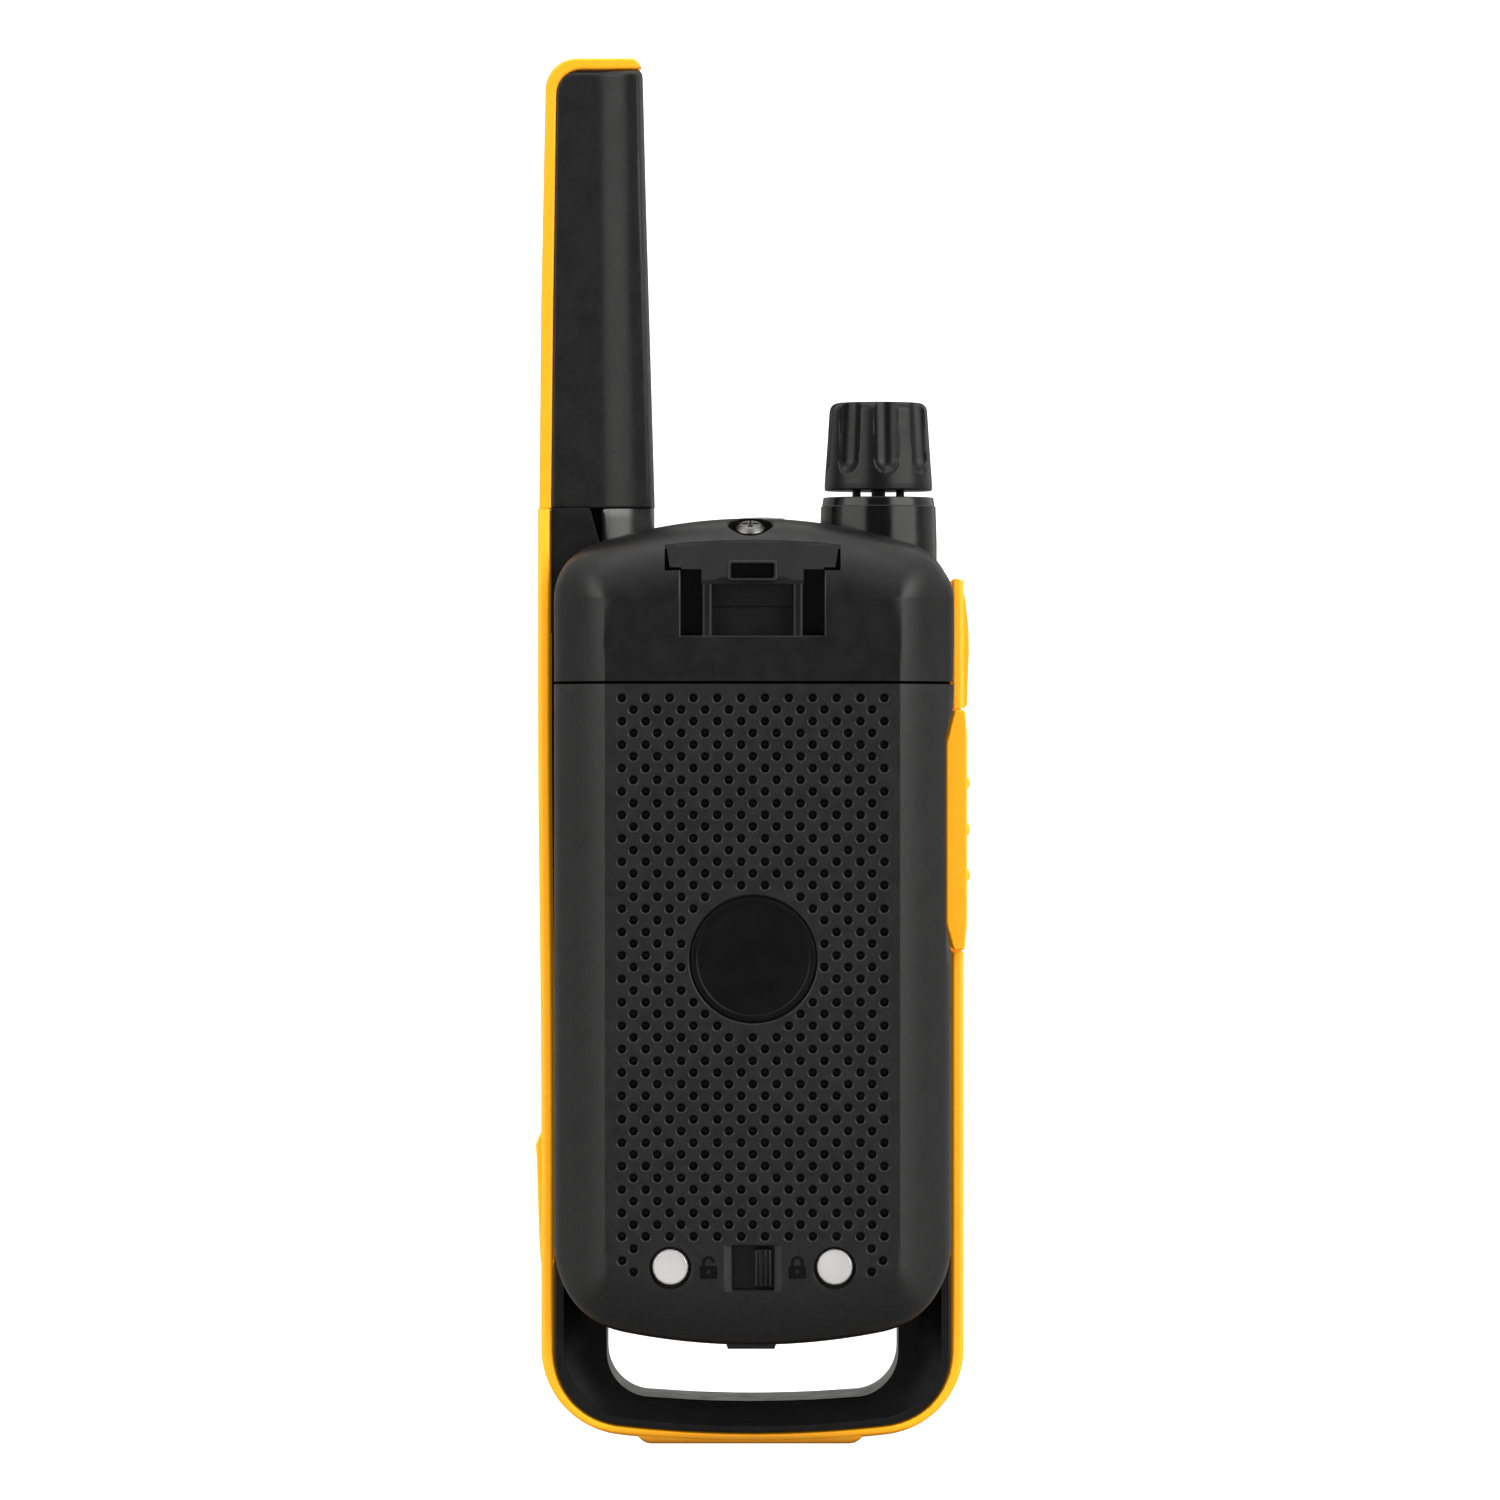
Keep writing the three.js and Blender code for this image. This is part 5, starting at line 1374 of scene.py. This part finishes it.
def dress_kept_nodes():
    for name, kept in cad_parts.items():
        if kept.hide_render:
            continue
        if name not in KEPT:
            raise RuntimeError("no material for node " + name)
        kept.data.materials.clear()
        kept.data.materials.append(MATERIAL[KEPT[name]])
        bevel = kept.modifiers.new("edges", "BEVEL")
        bevel.width = 0.00004 if "coil" in name else 0.00012
        bevel.segments = 2
        bevel.limit_method = "ANGLE"
        bevel.angle_limit = math.radians(40)
        bevel.harden_normals = False


# ------------------------------------------------------------------ floor, light and camera
# lengths from here on are in metres
WHITE = (1, 1, 1, 1)
BACKDROP = 1.02  # strength of the white the camera sees
FLOOR_LIFT = 0.72  # least share of plain white the camera sees in the floor
FLOOR_BOUNCE = 0.28  # floor colour as seen by light, against that seen by the camera
SIDE_GLOW = 2.15  # strength of the side softboxes
SIDE_DIM = 0.15  # share of it left straight out to the side
SIDE_PLUS_X, SIDE_MINUS_X = 0.95, 1.3
FRONT_GLOW = 0.42  # strength of the patch on the -Y side
TOP_GLOW = 1.1
BASE_GLOW = 0.06


def make_floor():
    rings = [place(circle(0, 0, radius, 96), 0.0, "z") for radius in (0.05, 0.2, 0.5, 1.2, 3.0, 6.0)]
    floor = mesh_object("floor", *bridge(rings, last_cap=False), weld=0)
    if floor.data.polygons[0].normal.z < 0:
        floor.data.flip_normals()
    floor.location.z = -0.0001
    paper = bpy.data.materials.new("floor_paper")
    shader = Shader(paper)
    position = shader.node("TexCoord", output="Object")
    distance = shader.node("VectorMath", {0: position}, output="Value", operation="LENGTH")
    fade = shader.smooth(distance, 0.10, 0.75, 0.0, 1.0)
    grain = shader.node("TexNoise", {"Vector": position, "Scale": 220})
    tone = shader.ramp(grain, 0.0, 1.0, 0.93, 0.95)
    grey = shader.node("CombineColor", {0: tone, 1: tone, 2: tone})
    seen = shader.node("LightPath", output="Is Camera Ray")
    bounce = shader.ramp(seen, 0.0, 1.0, FLOOR_BOUNCE)
    colour = shader.node("VectorMath", {0: grey, "Scale": bounce}, operation="SCALE")
    matt = shader.node("BsdfPrincipled", {"Base Color": colour, "Roughness": 0.9,
                                          "Specular IOR Level": 0.1})
    white = shader.node("Emission", {"Color": WHITE, "Strength": BACKDROP})
    share = shader.math("MULTIPLY", shader.math("MAXIMUM", fade, FLOOR_LIFT),
                        shader.node("LightPath", output="Is Camera Ray"))
    shader.node("OutputMaterial", {0: shader.node("MixShader", {0: share, 1: matt, 2: white})})
    floor.data.materials.append(paper)


def make_world():
    """White to the camera; to everything else, softboxes at the sides and one overhead."""
    world = bpy.data.worlds.new("studio")
    scene.world = world
    shader = Shader(world)
    calc, smooth = shader.math, shader.smooth
    split = shader.node("SeparateXYZ", {
        0: shader.node("TexCoord", output="Generated")}).node
    x, y, z = split.outputs

    # how far a direction turns away from the Y axis: 0 along it, 1 straight out to the side
    flat = calc("SQRT", calc("ADD", calc("MULTIPLY", x, x), calc("MULTIPLY", y, y)))
    turn = calc("DIVIDE", calc("ABSOLUTE", x), calc("MAXIMUM", flat, 0.001))
    side = smooth(turn, 0.38, 0.52, 0.0, 1.0)
    for factor in (
            smooth(turn, 0.965, 0.998, 1.0, SIDE_DIM),
            smooth(z, 0.4, 0.85, 1.0, 0.0),
            smooth(x, -0.3, 0.3, SIDE_MINUS_X, SIDE_PLUS_X),
            smooth(z, -0.28, 0.28, 0.12, 1.6),
            smooth(y, -0.25, 0.05, 0.16, 1.0),
            SIDE_GLOW):
        side = calc("MULTIPLY", side, factor)
    top = smooth(z, 0.4, 0.95, 0.0, TOP_GLOW)
    front = calc("MULTIPLY", smooth(calc("MULTIPLY", y, -1.0), 0.93, 0.985, 0.0, FRONT_GLOW),
                 smooth(z, -0.3, 0.0, 0.0, 1.0))
    strength = calc("ADD", calc("ADD", calc("ADD", side, top), BASE_GLOW), front)
    studio = shader.node("Background", {0: (1.0, 0.99, 0.975, 1), 1: strength})
    white = shader.node("Background", {0: WHITE, 1: BACKDROP})
    seen = shader.node("LightPath", output="Is Camera Ray")
    shader.node("OutputWorld", {0: shader.node("MixShader", {0: seen, 1: studio, 2: white})})


def make_softbox():
    data = bpy.data.lights.new("softbox_top", "AREA")
    data.shape = "RECTANGLE"
    data.size, data.size_y = 1.4, 1.0
    data.energy = 6.0
    light = bpy.data.objects.new("softbox_top", data)
    scene.collection.objects.link(light)
    light.location = (0.1, 0.3, 2.1)
    aim = Vector((0, 0, 0.09)) - Vector((0.1, 0.3, 2.1))
    light.rotation_euler = aim.to_track_quat("-Z", "Y").to_euler()
    light.visible_camera = False


def make_camera():
    """Looks square at the back of the radio, from +Y."""
    data = bpy.data.cameras.new("camera")
    data.sensor_width = 36
    data.lens = 217.4
    data.clip_start, data.clip_end = 0.05, 30
    camera = bpy.data.objects.new("camera", data)
    scene.collection.objects.link(camera)
    camera.location = (0.00035, 1.25, 0.0955)
    camera.rotation_euler = (PI / 2, 0, PI)
    scene.camera = camera
    scene.view_settings.view_transform = "Standard"
    scene.view_settings.look = "None"
    scene.view_settings.exposure = 0.58


# ------------------------------------------------------------------ build
make_rear()
make_door()
make_badge()
make_contacts()
make_latch()
make_padlock("mark_locked", -6.1, 25.1, foot=0.05)
make_padlock("mark_unlocked", 6.0, 25.1, foot=0.58)
make_front()
make_rails()
make_talk_button()
make_accessory_cover()
make_usb_cover()
make_antenna()
make_stripe()
make_antenna_foot()
make_knob()
make_hub()
make_collar()
make_screw()
make_torch()
make_display()
make_keys()
make_speaker_cloth()
make_cells()
dress_kept_nodes()
make_floor()
make_world()
make_softbox()
make_camera()
